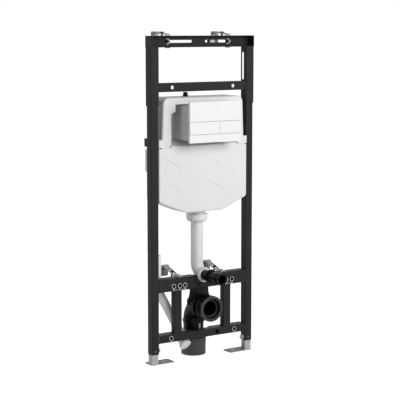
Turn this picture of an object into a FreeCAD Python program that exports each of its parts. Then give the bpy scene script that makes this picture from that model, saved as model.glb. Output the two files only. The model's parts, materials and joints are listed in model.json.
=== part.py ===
"""Wall hung toilet frame: steel frame on telescoping feet, concealed cistern, flush pipe and drain bend."""
import FreeCAD, Part
import math
import os
import re
import Sketcher
from FreeCAD import Vector

# Driving sizes in millimetres. Heights are from the floor, depths from the posts' front faces.
SIZES = {
    # steel frame
    "frame_width": 500, "post_size": 35, "post_wall": 2, "post_corner": 4, "post_drop": 3,
    "foot_gap": 44, "seat_gap": 0.3,
    "sleeve_wall": 2, "sleeve_play": 0.5, "sleeve_rise": 145, "sleeve_length": 233,
    "sleeve_slot_rise": 96, "sleeve_slot_length": 115, "sleeve_slot_width": 14, "sleeve_slot_back": 4,
    "top_rail_height": 46, "top_rail_wall": 2, "keyhole_at": 147, "keyhole_radius": 12.5,
    "keyhole_slot_end": 32, "keyhole_slot_width": 11,
    "upper_rail_clear": 23, "upper_rail_height": 36, "upper_hole_at": 148.5, "upper_hole_radius": 7.5,
    "rail_depth": 30, "rail_wall": 2.5, "rail_bend": 3,
    "stud_height": 320, "stud_rail_drop": 21, "stud_rail_height": 54, "stud_notch_play": 2,
    "stud_spacing": 180, "stud_step": 50, "stud_far_step": 60,
    "bottom_rail_low": 87, "bottom_rail_height": 33, "anchor_at": 157.5,
    "square_hole_at": 71, "square_hole_width": 18, "square_hole_height": 15,
    "strut_at": 122, "strut_width": 36,
    "hanger_neck": 92, "hanger_flare": 13, "hanger_lap": 20, "hanger_foot_high": 252, "hanger_foot_low": 238,
    "hanger_bend": 12, "hanger_thick": 3, "hanger_play": 0.8, "saddle_depth": 16, "saddle_thick": 4,
    # zinc sockets
    "stud_bore": 6, "collar_radius": 10, "collar_proud": 2, "collar_length": 22,
    "socket_plate": 3, "socket_margin": 13, "drop_radius": 3.2, "drop_length": 6, "drop_lap": 1.5,
    # feet
    "foot_tube": 30, "foot_wall": 2, "foot_corner": 1.5, "foot_top": 290, "foot_plate_length": 110,
    "foot_plate_depth": 57, "foot_plate_thick": 4, "foot_plate_corner": 5,
    "foot_slot_width": 12, "foot_slot_length": 30, "foot_slot_at": 59,
    "clamp_height": 14, "clamp_head": 9, "clamp_head_thick": 6, "clamp_shank": 4, "sight_hole": 3.5,
    # wall brackets
    "wall_face": 137, "bracket_width": 36, "bracket_thick": 3, "bracket_bolt": 5.5, "bracket_corner": 5,
    "bracket_arm_width": 23, "bracket_head": 12,
    "bracket_knee": 10, "bracket_tab": 48, "bracket_hole_drop": 28,
    "bracket_slot_at": 46, "bracket_slot_length": 44,
    "low_bracket_at": 106, "low_bracket_rise": 33, "low_bracket_front": 8,
    "high_bracket_rise": 17, "high_bracket_arm": 7, "high_bracket_hang": 4,
    # cistern
    "tank_front": 5, "tank_crown": 10, "tank_back": 108, "tank_wall": 3.5, "tank_back_corner": 20,
    "tank_floor": 621, "tank_floor_width": 180, "tank_shoulder": 49, "tank_height": 269,
    "tank_corner": 16, "tank_edge": 5, "ear_height": 33, "ear_width": 14.7, "cover_roof": 27,
    "cover_draft": 6, "cover_corner": 27, "cover_edge": 9,
    "well_side": 49.5, "well_rise": 5, "well_play": 5, "well_back": 50, "sill_gap": 1,
    "well_step": 21, "well_step_rise": 8, "well_step_height": 29,
    "tick_width": 4, "tick_height": 10, "tick_depth": 2, "tick_near": 86, "tick_far": 165,
    "inlet_at": 48, "inlet_depth": 60, "inlet_radius": 10, "inlet_height": 18, "inlet_flange": 2,
    # service shaft and flush plate
    "shaft_width": 224, "shaft_rise": 30, "shaft_height": 140, "shaft_wall": 2.5, "shaft_bevel": 24,
    "rib_rise": 2, "rib_step": 34, "rib_height": 3, "rib_proud": 2.5, "rib_depth": 46,
    "plate_width": 248, "plate_drop": 7.5, "plate_height": 164, "plate_reach": 91, "plate_depth": 11,
    "plate_base": 3, "plate_corner": 3, "plate_rim": 18,
    "button_rise": 34, "button_height": 49.5, "button_split": 20, "button_thick": 4, "button_gap": 1.5,
    "rod_radius": 3, "rod_inset": 22, "rod_length": 16,
    # flush pipe
    "flush_axis": 48, "flush_radius": 26, "flush_bore": 22, "flush_height": 355, "flush_bend": 46,
    "flush_end": 14, "flush_lip": 5, "flush_lip_length": 10,
    "nut_radius": 44.5, "nut_height": 31, "nut_drop": 16, "nut_taper": 7, "nut_taper_height": 10,
    "neck_radius": 34,
    "rubber_radius": 21.7, "rubber_bore": 18, "rubber_front": 139, "rubber_flange": 30,
    "rubber_flange_at": 62, "rubber_flange_thick": 6,
    "rubber_rib": 25, "rubber_rib_width": 7, "rubber_rib_step": 12.5,
    # drain
    "drain_axis": 74, "drain_radius": 43, "drain_bore": 39, "drain_height": 220, "drain_bend": 68,
    "drain_ring": 3.5, "drain_ring_width": 7, "spigot_end": 40,
    "socket_radius": 54, "socket_bore": 47, "socket_front": 66, "socket_length": 50, "socket_rim": 16,
    "socket_step": 5, "socket_floor": 5,
    "seal_bore": 45, "seal_length": 14, "seal_inset": 2, "seal_gap": 0.1,
    "adapter_radius": 52, "adapter_low": 6, "adapter_height": 78, "adapter_wall": 4, "adapter_taper": 8,
    "adapter_edge": 6, "adapter_step": 1.5, "adapter_collar": 26,
    "lug_width": 16, "lug_height": 12, "lug_proud": 2,
    "band_rise": 7, "band_height": 18, "band_thick": 2.5,
    "strap_width": 10, "strap_drop": 8, "strap_rise": 29,
    # conduit
    "conduit_x": 170, "conduit_y": 92, "conduit_top": 437, "conduit_knee": 300,
    "conduit_low_x": 88, "conduit_low_y": 60, "conduit_low": 128,
    "conduit_turn_x": 76, "conduit_turn_y": 57, "conduit_turn": 84,
    "conduit_end_x": 71, "conduit_end_y": 30, "conduit_end": 62,
    "conduit_bend": 80, "conduit_tight_bend": 28, "conduit_radius": 19, "conduit_wall": 2,
    "conduit_cap": 25, "conduit_cap_length": 12, "conduit_cap_skirt": 5,
}

doc = FreeCAD.newDocument("toilet_frame")
sheet = doc.addObject("Spreadsheet::Sheet", "Sizes")
for row, (alias, value) in enumerate(SIZES.items(), 1):
    sheet.set(f"A{row}", str(value))
    sheet.setAlias(f"A{row}", alias)
doc.recompute()

# Places that several parts share, from mid-width, the posts' front faces and the floor
LEG_AT = "((frame_width - post_size) / 2)"
HALF_POST = "(post_size / 2)"
STUD_RAIL_LOW = "(stud_height - stud_rail_drop)"
STUD_RAIL_HIGH = f"({STUD_RAIL_LOW} + stud_rail_height)"
STUD_SPREAD = "(stud_spacing + stud_step + stud_far_step)"
BOTTOM_RAIL_HIGH = "(bottom_rail_low + bottom_rail_height)"
TOP_RAIL_BACK = "(post_size + sleeve_wall)"
TANK_HALF = "(frame_width / 2 - post_size - seat_gap)"
TANK_SEAM = "(tank_floor + tank_height)"
COVER_HALF = f"({TANK_HALF} - ear_width)"
SHAFT_LOW = f"({TANK_SEAM} + shaft_rise)"
WELL_HALF = "(shaft_width / 2 + well_side)"
WELL_HIGH = "(shaft_rise + shaft_height + well_play)"
COVER_HEIGHT = f"({WELL_HIGH} + cover_roof)"
UPPER_RAIL_LOW = f"({TANK_SEAM} + {COVER_HEIGHT} + upper_rail_clear)"
POST_TOP = f"({UPPER_RAIL_LOW} + upper_rail_height - post_drop)"
SLEEVE_TOP = f"({POST_TOP} + sleeve_rise)"
PLATE_LOW = f"({SHAFT_LOW} - plate_drop)"
BUTTON_LOW = f"({PLATE_LOW} + button_rise)"
BUTTON_HIGH = f"({BUTTON_LOW} + button_height)"
BUTTON_MIDDLE = f"({BUTTON_LOW} + button_height / 2)"
ROD_PLACES = ("-plate_width / 2 + rod_inset", "button_split - rod_inset", "button_split + rod_inset",
              "plate_width / 2 - rod_inset")
STRAP_FRONT = "(drain_radius + 2 * band_thick)"

SIDES = (("left", -1), ("right", 1))
UNITS = {"x": Vector(1, 0, 0), "y": Vector(0, 1, 0), "z": Vector(0, 0, 1)}
NEAR = 0.01
HEX_SIDES = 6
RIB_COUNT = 4
RUBBER_RIBS = 3
PARTS = []


def bind(text):
    """An expression with each size name pointed at its cell."""
    return re.sub(r"[a-z_]+", lambda word: "Sizes." + word[0] if word[0] in SIZES else word[0], str(text))


def size(name):
    """A size read from its cell."""
    return float(getattr(sheet, name))


def new_body(label, x="0", y="0", z="0"):
    """A named sub-part whose own zero stands at x from mid-width, y from the front, z from the floor."""
    body = doc.addObject("PartDesign::Body", label)
    body.Label = label
    # the origin is on the left leg's axis, on the sole of its foot
    for axis, text in (("x", f"{LEG_AT} + ({x})"), ("y", f"({y}) - {HALF_POST}"), ("z", z)):
        body.setExpression(f"Placement.Base.{axis}", bind(text))
    PARTS.append(body)
    return body


def new_sketch(body, plane, offset=None):
    """An empty sketch on one of the body's own planes, moved along its normal by offset."""
    sketch = body.newObject("Sketcher::SketchObject", "sketch")
    origin = next(f for f in body.Origin.OriginFeatures if f.Role == plane + "_Plane")
    sketch.AttachmentSupport = [(origin, "")]
    sketch.MapMode = "FlatFace"
    if offset:
        sketch.setExpression("AttachmentOffset.Base.z", bind(offset))
    return sketch


def fix(sketch, kind, value, *places, start=1.0):
    """A constraint whose value follows an expression, from a first value near the sketch as drawn."""
    index = sketch.addConstraint(Sketcher.Constraint(kind, *places, start))
    sketch.setExpression(f"Constraints[{index}]", bind(value))


def polygon(sketch, corners):
    """A closed outline of straight lines through corners given as expressions."""
    count = len(corners)
    angles = [2 * math.pi * i / count for i in range(count)]
    drawn = [Vector(math.cos(angle), math.sin(angle)) for angle in angles]
    first = sketch.GeometryCount
    for i in range(count):
        sketch.addGeometry(Part.LineSegment(drawn[i], drawn[(i + 1) % count]), False)
    for i in range(count):
        sketch.addConstraint(Sketcher.Constraint("Coincident", first + i, 2, first + (i + 1) % count, 1))
    for i, (across, up) in enumerate(corners):
        fix(sketch, "DistanceX", across, -1, 1, first + i, 1)
        fix(sketch, "DistanceY", up, -1, 1, first + i, 1)


def rectangle(sketch, left, right, low, high):
    """A rectangle between two pairs of expressions."""
    polygon(sketch, [(left, low), (right, low), (right, high), (left, high)])


def circle(sketch, across, up, radius):
    """A circle placed and sized by expressions."""
    index = sketch.addGeometry(Part.Circle(Vector(0, 0, 0), UNITS["z"], 1), False)
    fix(sketch, "DistanceX", across, -1, 1, index, 3)
    fix(sketch, "DistanceY", up, -1, 1, index, 3)
    fix(sketch, "Radius", radius, index)


def pad(body, sketch, length, back=False, both=False):
    """Material along the sketch's normal, against it, or half each way."""
    feature = body.newObject("PartDesign::Pad", "pad")
    feature.Profile = sketch
    feature.setExpression("Length", bind(length))
    feature.Reversed = back
    feature.Midplane = both


def cut(body, sketch, deep=None, along_normal=False, both=False):
    """A pocket right through, or so deep against the sketch's normal, along it or half each way."""
    doc.recompute()
    before = body.Shape.Volume
    feature = body.newObject("PartDesign::Pocket", "pocket")
    feature.Profile = sketch
    if deep is None:
        feature.Type = "ThroughAll"
        feature.Midplane = True
    else:
        feature.setExpression("Length", bind(deep))
        feature.Reversed = along_normal
        feature.Midplane = both
    doc.recompute()
    if not body.Shape.Volume < before:
        raise RuntimeError(f"a cut in {body.Label} removes nothing")


def cut_slot(body, plane, across, up, length, width, tall=False, **how):
    """A slot with round ends about a centre, level or tall, cut as cut() says."""
    half, reach = f"({width}) / 2", f"(({length}) - ({width})) / 2"
    span, rise = (half, reach) if tall else (reach, half)
    straight = new_sketch(body, plane)
    rectangle(straight, f"{across} - {span}", f"{across} + {span}", f"{up} - {rise}", f"{up} + {rise}")
    cut(body, straight, **how)
    ends = new_sketch(body, plane)
    for sign in ("-", "+"):
        place = (across, f"{up} {sign} {reach}") if tall else (f"{across} {sign} {reach}", up)
        circle(ends, *place, half)
    cut(body, ends, **how)


def turn(body, sketch, axis):
    """A revolved form about the sketch's V (upright) or H (level) axis."""
    feature = body.newObject("PartDesign::Revolution", "revolution")
    feature.Profile = sketch
    feature.ReferenceAxis = (sketch, [axis + "_Axis"])
    feature.Angle = 360


def follow(body, profile, path, remove=False):
    """A section swept along a path."""
    kind = "SubtractivePipe" if remove else "AdditivePipe"
    feature = body.newObject("PartDesign::" + kind, "pipe")
    feature.Profile = profile
    feature.Spine = (path, [f"Edge{i + 1}" for i in range(path.GeometryCount)])
    doc.recompute()


def along(edge, axis):
    """Whether an edge is straight and parallel to x, y or z."""
    if not isinstance(edge.Curve, Part.Line):
        return False
    return abs(edge.tangentAt(edge.FirstParameter).dot(UNITS[axis])) > 1 - NEAR


def box_edge(axis, **ends):
    """A test for straight edges along axis on the edges of the piece's box, at the ends named, if any."""
    def test(edge, box):
        if not along(edge, axis):
            return False
        for other in UNITS.keys() - {axis}:
            limits = [getattr(box, other.upper() + end) for end in ends.get(other, ("Min", "Max"))]
            if min(abs(getattr(edge.CenterOfMass, other) - limit) for limit in limits) > NEAR:
                return False
        return True
    return test


def rounded(body, radius, test):
    """A fillet on every edge that passes the test, which is given the edge and the piece's box."""
    doc.recompute()
    tip = body.Tip
    box = tip.Shape.BoundBox
    names = [f"Edge{i + 1}" for i, edge in enumerate(tip.Shape.Edges) if test(edge, box)]
    feature = body.newObject("PartDesign::Fillet", "fillet")
    feature.Base = (tip, names)
    feature.setExpression("Radius", bind(radius))


def shelled(body, wall):
    """The piece made a shell with the given wall, open at its flat top."""
    doc.recompute()
    tip = body.Tip
    top = tip.Shape.BoundBox.ZMax
    names = [f"Face{i + 1}" for i, face in enumerate(tip.Shape.Faces) if face.BoundBox.ZMin > top - NEAR]
    feature = body.newObject("PartDesign::Thickness", "shell")
    feature.Base = (tip, names)
    feature.setExpression("Value", bind(wall))
    feature.Reversed = True


def square_tube(body, half_x, half_y, wall, length, offset=None):
    """A tube with a rectangular section, upright from the body's zero or from offset."""
    sketch = new_sketch(body, "XY", offset)
    for x, y in ((f"({half_x})", f"({half_y})"), (f"({half_x} - {wall})", f"({half_y} - {wall})")):
        rectangle(sketch, f"-{x}", x, f"-{y}", y)
    pad(body, sketch, length)


def channel(label, low, height, half_length):
    """A rail along x, open to the back: web in front, a flange above and one below."""
    rail = new_body(label, z=low)
    sketch = new_sketch(rail, "YZ")
    inner = f"{height} - rail_wall"
    polygon(sketch, [("0", "0"), ("rail_depth", "0"), ("rail_depth", "rail_wall"), ("rail_wall", "rail_wall"),
                     ("rail_wall", inner), ("rail_depth", inner), ("rail_depth", height), ("0", height)])
    pad(rail, sketch, f"2 * ({half_length})", both=True)
    rounded(rail, "rail_bend", box_edge("x", y=["Min"]))
    return rail


def ordered(side, near, far):
    """Two distances from mid-width on one side, as a left and a right end."""
    ends = (f"{side} * ({near})", f"{side} * ({far})")
    return ends if side > 0 else ends[::-1]


# Steel frame
def make_posts():
    for name, side in SIDES:
        post = new_body(f"{name}_post", f"{side} * {LEG_AT}", HALF_POST, "foot_gap")
        square_tube(post, HALF_POST, HALF_POST, "post_wall", f"{POST_TOP} - foot_gap")
        rounded(post, "post_corner", box_edge("z"))
        sight = new_sketch(post, "XZ")
        circle(sight, "0", "clamp_height", "sight_hole")
        cut(post, sight, "post_size", along_normal=True)
        bolt_hole = new_sketch(post, "YZ")
        circle(bolt_hole, "0", "clamp_height", "clamp_shank + seat_gap")
        cut(post, bolt_hole, "post_size", along_normal=side < 0)


def make_sleeves():
    inner = f"({HALF_POST} + sleeve_play)"
    outer = f"({inner} + sleeve_wall)"
    for name, side in SIDES:
        sleeve = new_body(f"{name}_sleeve", f"{side} * {LEG_AT}", HALF_POST,
                          f"{SLEEVE_TOP} - sleeve_length")
        sketch = new_sketch(sleeve, "XY")
        polygon(sketch, [(f"-{outer}", f"-{outer}"), (outer, f"-{outer}"), (outer, HALF_POST),
                         (inner, HALF_POST), (inner, f"-{inner}"), (f"-{inner}", f"-{inner}"),
                         (f"-{inner}", HALF_POST), (f"-{outer}", HALF_POST)])
        pad(sleeve, sketch, "sleeve_length")
        rounded(sleeve, "post_corner", box_edge("z", y=["Min"]))
        cut_slot(sleeve, "YZ", "sleeve_slot_back", "sleeve_slot_rise + sleeve_slot_length / 2",
                 "sleeve_slot_length", "sleeve_slot_width", tall=True, deep="post_size",
                 along_normal=side < 0)


def make_top_rail():
    rail = new_body("top_rail", y=TOP_RAIL_BACK, z=SLEEVE_TOP)
    half = "(frame_width / 2 + sleeve_play + sleeve_wall)"
    depth = f"({TOP_RAIL_BACK} + sleeve_play + sleeve_wall)"
    sketch = new_sketch(rail, "XZ")
    rectangle(sketch, f"-{half}", half, "0", "top_rail_height")
    pad(rail, sketch, depth)
    rounded(rail, "rail_bend", box_edge("x", y=["Max"]))
    hollow = new_sketch(rail, "XZ", "top_rail_wall")
    rectangle(hollow, f"-{half} + top_rail_wall", f"{half} - top_rail_wall", "top_rail_wall",
              "top_rail_height - top_rail_wall")
    cut(rail, hollow, depth, along_normal=True)
    middle = "top_rail_height / 2"
    for _, side in SIDES:
        keyhole = new_sketch(rail, "XZ")
        circle(keyhole, f"{side} * keyhole_at", middle, "keyhole_radius")
        cut(rail, keyhole)
        cut_slot(rail, "XZ", f"{side} * (keyhole_slot_end + keyhole_at) / 2", middle,
                 "keyhole_at - keyhole_slot_end", "keyhole_slot_width")


def make_rails():
    inner = "frame_width / 2 - post_size"
    upper = channel("upper_rail", UPPER_RAIL_LOW, "upper_rail_height",
                    f"{inner} - sleeve_play - sleeve_wall")
    stud = channel("stud_rail", STUD_RAIL_LOW, "stud_rail_height", inner)
    bottom = channel("bottom_rail", "bottom_rail_low", "bottom_rail_height", inner)

    holes = new_sketch(upper, "XZ")
    sockets = new_sketch(stud, "XZ")
    anchors = new_sketch(bottom, "XZ")
    middle = "bottom_rail_height / 2"
    for _, side in SIDES:
        circle(holes, f"{side} * upper_hole_at", "upper_rail_height / 2", "upper_hole_radius")
        for place in stud_places(side):
            circle(sockets, place, "stud_rail_drop", "collar_radius + seat_gap")
        circle(anchors, f"{side} * anchor_at", middle, "collar_radius + seat_gap")
    rectangle(anchors, "square_hole_at - square_hole_width / 2", "square_hole_at + square_hole_width / 2",
              f"{middle} - square_hole_height / 2", f"{middle} + square_hole_height / 2")
    cut(upper, holes)
    cut(stud, sockets)
    cut(bottom, anchors)

    pipe_notch = new_sketch(stud, "XZ")
    circle(pipe_notch, "0", f"flush_height - {STUD_RAIL_LOW}", "flush_radius + stud_notch_play")
    cut(stud, pipe_notch)
    strap_notch = new_sketch(bottom, "XY")
    rectangle(strap_notch, "-strap_width / 2 - seat_gap", "strap_width / 2 + seat_gap",
              f"drain_axis - {STRAP_FRONT}", "rail_depth + seat_gap")
    cut(bottom, strap_notch)


def make_struts():
    for name, side in SIDES:
        strut = new_body(f"{name}_strut", f"{side} * strut_at", "rail_depth / 2", BOTTOM_RAIL_HIGH)
        square_tube(strut, "strut_width / 2", "rail_depth / 2", "post_wall",
                    f"{STUD_RAIL_LOW} - {BOTTOM_RAIL_HIGH}")
        rounded(strut, "post_corner", box_edge("z"))


def make_hanger():
    plate = new_body("drain_hanger", y="rail_depth")
    neck = "(hanger_neck / 2)"
    wide = f"({neck} + hanger_flare)"
    high = f"({STUD_RAIL_LOW} + hanger_lap)"
    right = [(wide, "hanger_foot_low"), (wide, "hanger_foot_high"), (neck, "hanger_foot_high"),
             (neck, STUD_RAIL_LOW), (wide, STUD_RAIL_LOW), (wide, high)]
    left = [(f"-{across}", up) for across, up in reversed(right)]
    sketch = new_sketch(plate, "XZ")
    polygon(sketch, right + left)
    pad(plate, sketch, "hanger_thick", back=True)
    rounded(plate, "hanger_bend", lambda edge, box: along(edge, "y")
            and abs(edge.CenterOfMass.x) < box.XMax - NEAR)
    # the saddle fits the bend where it is highest under the flange
    front = "(rail_depth - saddle_depth - drain_axis + drain_bend)"
    crown = f"(drain_height - drain_bend + sqrt((drain_bend + drain_radius) ^ 2 - {front} ^ 2))"
    centre = f"({crown} - drain_radius)"
    flange = new_sketch(plate, "XZ")
    circle(flange, "0", centre, "drain_radius + hanger_play + saddle_thick")
    pad(plate, flange, "saddle_depth")
    saddle = new_sketch(plate, "XZ")
    circle(saddle, "0", centre, "drain_radius + hanger_play")
    cut(plate, saddle)
    below = new_sketch(plate, "XZ")
    rectangle(below, f"-2 * {wide}", f"2 * {wide}", "0", "hanger_foot_low")
    cut(plate, below)


# Feet and their clamp bolts
def make_feet():
    for name, side in SIDES:
        foot = new_body(f"{name}_foot", f"{side} * {LEG_AT}", HALF_POST)
        plate = new_sketch(foot, "XY")
        left, right = ordered(-side, f"-{HALF_POST}", f"foot_plate_length - {HALF_POST}")
        rectangle(plate, left, right, f"-{HALF_POST}", f"foot_plate_depth - {HALF_POST}")
        pad(foot, plate, "foot_plate_thick")
        rounded(foot, "foot_plate_corner", box_edge("z"))
        square_tube(foot, "foot_tube / 2", "foot_tube / 2", "foot_wall", "foot_top - foot_plate_thick",
                    "foot_plate_thick")
        rounded(foot, "foot_corner", lambda edge, box: along(edge, "z")
                and edge.BoundBox.ZMax > box.ZMax - NEAR)
        cut_slot(foot, "XY", f"{-side} * foot_slot_at", f"foot_plate_depth / 2 - {HALF_POST}",
                 "foot_slot_length", "foot_slot_width")


def make_clamp_bolts():
    for name, side in SIDES:
        inner = f"{side} * (frame_width / 2 - post_size)"
        bolt = new_body(f"{name}_clamp_bolt", inner, HALF_POST, "foot_gap + clamp_height")
        head = new_sketch(bolt, "YZ")
        turns = [f"{360 / HEX_SIDES * i} deg" for i in range(HEX_SIDES)]
        polygon(head, [(f"clamp_head * cos({angle})", f"clamp_head * sin({angle})") for angle in turns])
        pad(bolt, head, "clamp_head_thick", back=side > 0)
        shank = new_sketch(bolt, "YZ")
        circle(shank, "0", "0", "clamp_shank")
        pad(bolt, shank, "(post_size - foot_tube) / 2 - seat_gap", back=side < 0)


# Wall brackets: a strip on the frame, a slotted arm and a tab on the wall
def finish_bracket(bracket, outline, arm_start, top):
    """Bracket sheet from its side view, with a narrower slotted arm and a rounded tab with a bolt hole."""
    sketch = new_sketch(bracket, "YZ")
    polygon(sketch, outline)
    pad(bracket, sketch, "bracket_width", both=True)
    rounded(bracket, "bracket_corner", box_edge("y"))
    sides = new_sketch(bracket, "XY")
    for _, side in SIDES:
        left, right = ordered(side, "bracket_arm_width / 2", "bracket_width")
        rectangle(sides, left, right, "0", "wall_face - bracket_head")
    cut(bracket, sides)
    cut_slot(bracket, "XY", "0", f"{arm_start} + bracket_slot_at", "bracket_slot_length", "2 * bracket_bolt",
             tall=True)
    hole = new_sketch(bracket, "XZ", "-wall_face")
    circle(hole, "0", f"{top} - bracket_hole_drop", "bracket_bolt")
    cut(bracket, hole, "2 * bracket_thick", along_normal=True)


def make_low_brackets():
    rise, knee = "low_bracket_rise", "(rail_depth + bracket_knee)"
    inside = "(wall_face - bracket_thick)"
    for name, side in SIDES:
        bracket = new_body(f"{name}_low_bracket", f"{side} * low_bracket_at", z=STUD_RAIL_HIGH)
        outline = [("low_bracket_front", "0"), (knee, "0"), (inside, f"{rise} - 2 * bracket_thick"),
                   (inside, f"{rise} - bracket_tab"), ("wall_face", f"{rise} - bracket_tab"),
                   ("wall_face", rise), (f"{inside} - bracket_thick", rise), (knee, "bracket_thick"),
                   ("low_bracket_front", "bracket_thick")]
        finish_bracket(bracket, outline, "rail_depth", rise)


def make_high_brackets():
    rise, start = "high_bracket_rise", TOP_RAIL_BACK
    inside = "(wall_face - bracket_thick)"
    foot = "-top_rail_height - high_bracket_hang"
    for name, side in SIDES:
        bracket = new_body(f"{name}_high_bracket", f"{side} * keyhole_at",
                           z=f"{SLEEVE_TOP} + top_rail_height")
        outline = [(start, foot), (f"{start} + bracket_thick", foot),
                   (f"{start} + bracket_thick", "high_bracket_arm - bracket_thick"),
                   (inside, f"{rise} - 2 * bracket_thick"), (inside, f"{rise} - bracket_tab"),
                   ("wall_face", f"{rise} - bracket_tab"), ("wall_face", rise),
                   (f"{inside} - bracket_thick", rise), (start, "high_bracket_arm")]
        finish_bracket(bracket, outline, start, rise)


# Zinc sockets for the bowl's studs and the lower anchors
def stud_places(side):
    """The three stud holes of one side, from mid-width."""
    spacings = ("stud_spacing", "(stud_spacing + stud_step)", STUD_SPREAD)
    return [f"{side} * {spacing} / 2" for spacing in spacings]


def make_sockets(label, side, near, far, places, height):
    """A plate behind a rail, with a bored collar through it at each place and a drop below that in front."""
    plate = new_body(label)
    back = new_sketch(plate, "XZ", "-rail_wall")
    left, right = ordered(side, f"{near} - socket_margin", f"{far} + socket_margin")
    rectangle(back, left, right, f"{height} - socket_margin", f"{height} + socket_margin")
    pad(plate, back, "socket_plate", back=True)
    drop = f"({height} - collar_radius - drop_length)"
    collars = new_sketch(plate, "XZ", "collar_proud")
    wedges = new_sketch(plate, "XZ")
    drops = new_sketch(plate, "XZ")
    bores = new_sketch(plate, "XZ")
    for place in places:
        circle(collars, place, height, "collar_radius")
        polygon(wedges, [(f"{place} - drop_radius", drop), (f"{place} + drop_radius", drop),
                         (place, f"{height} - collar_radius + drop_lap")])
        circle(drops, place, drop, "drop_radius")
        circle(bores, place, height, "stud_bore")
    pad(plate, collars, "collar_proud + collar_length", back=True)
    pad(plate, wedges, "collar_proud")
    pad(plate, drops, "collar_proud")
    cut(plate, bores)


def make_all_sockets():
    for name, side in SIDES:
        make_sockets(f"{name}_stud_plate", side, "stud_spacing / 2", f"{STUD_SPREAD} / 2",
                     stud_places(side), "stud_height")
        make_sockets(f"{name}_anchor_bush", side, "anchor_at", "anchor_at", [f"{side} * anchor_at"],
                     "(bottom_rail_low + bottom_rail_height / 2)")


# Cistern
def crowned_block(label, low, height):
    """A block between the posts with a front that swells towards the middle, from low upwards."""
    block = new_body(label, z=low)
    sketch = new_sketch(block, "XY")
    half = size("frame_width") / 2 - size("post_size")
    front, back = -size("tank_front"), size("tank_back")
    crown = size("tank_crown")
    radius = (half ** 2 + crown ** 2) / (2 * crown)
    spread = math.asin(half / radius)
    swell = Part.Circle(Vector(0, front - crown + radius), UNITS["z"], radius)
    arc = sketch.addGeometry(Part.ArcOfCircle(swell, -math.pi / 2 - spread, -math.pi / 2 + spread), False)
    drawn = [Vector(half, front), Vector(half, back), Vector(-half, back), Vector(-half, front)]
    lines = [sketch.addGeometry(Part.LineSegment(start, end), False) for start, end in zip(drawn, drawn[1:])]
    outline = lines + [arc]
    places = [(TANK_HALF, "-tank_front"), (TANK_HALF, "tank_back"), (f"-{TANK_HALF}", "tank_back"),
              (f"-{TANK_HALF}", "-tank_front")]
    for i, piece in enumerate(outline):
        sketch.addConstraint(Sketcher.Constraint("Coincident", piece, 2, outline[(i + 1) % len(outline)], 1))
    fix(sketch, "Radius", f"({TANK_HALF} ^ 2 + tank_crown ^ 2) / (2 * tank_crown)", arc, start=radius)
    for piece, (across, up), corner in zip(outline, places, drawn):
        fix(sketch, "DistanceX", across, -1, 1, piece, 1, start=corner.x)
        fix(sketch, "DistanceY", up, -1, 1, piece, 1, start=corner.y)
    pad(block, sketch, height)
    return block


def tank_rim(edge, box):
    """Whether an edge is on the outline of the tank's front or back."""
    return edge.CenterOfMass.y < NEAR - size("tank_front") or edge.CenterOfMass.y > box.YMax - NEAR


def at_top(edge, box):
    """Whether an edge is level with the piece's top."""
    return edge.CenterOfMass.z > box.ZMax - NEAR


def make_cistern_body():
    body = crowned_block("cistern_body", "tank_floor", "tank_height")
    corners = new_sketch(body, "XZ")
    for _, side in SIDES:
        polygon(corners, [(f"{side} * tank_floor_width / 2", "0"), (f"{side} * {TANK_HALF}", "0"),
                          (f"{side} * {TANK_HALF}", "tank_shoulder")])
    cut(body, corners)
    rounded(body, "tank_corner", lambda edge, box: along(edge, "y") and not at_top(edge, box))
    rounded(body, "tank_back_corner", box_edge("z", y=("Max",)))
    rounded(body, "tank_edge", lambda edge, box: tank_rim(edge, box) and not at_top(edge, box))
    shelled(body, "tank_wall")
    outlet = new_sketch(body, "XY")
    circle(outlet, "0", "flush_axis", "flush_bore")
    cut(body, outlet, "2 * tank_wall", along_normal=True)


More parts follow.
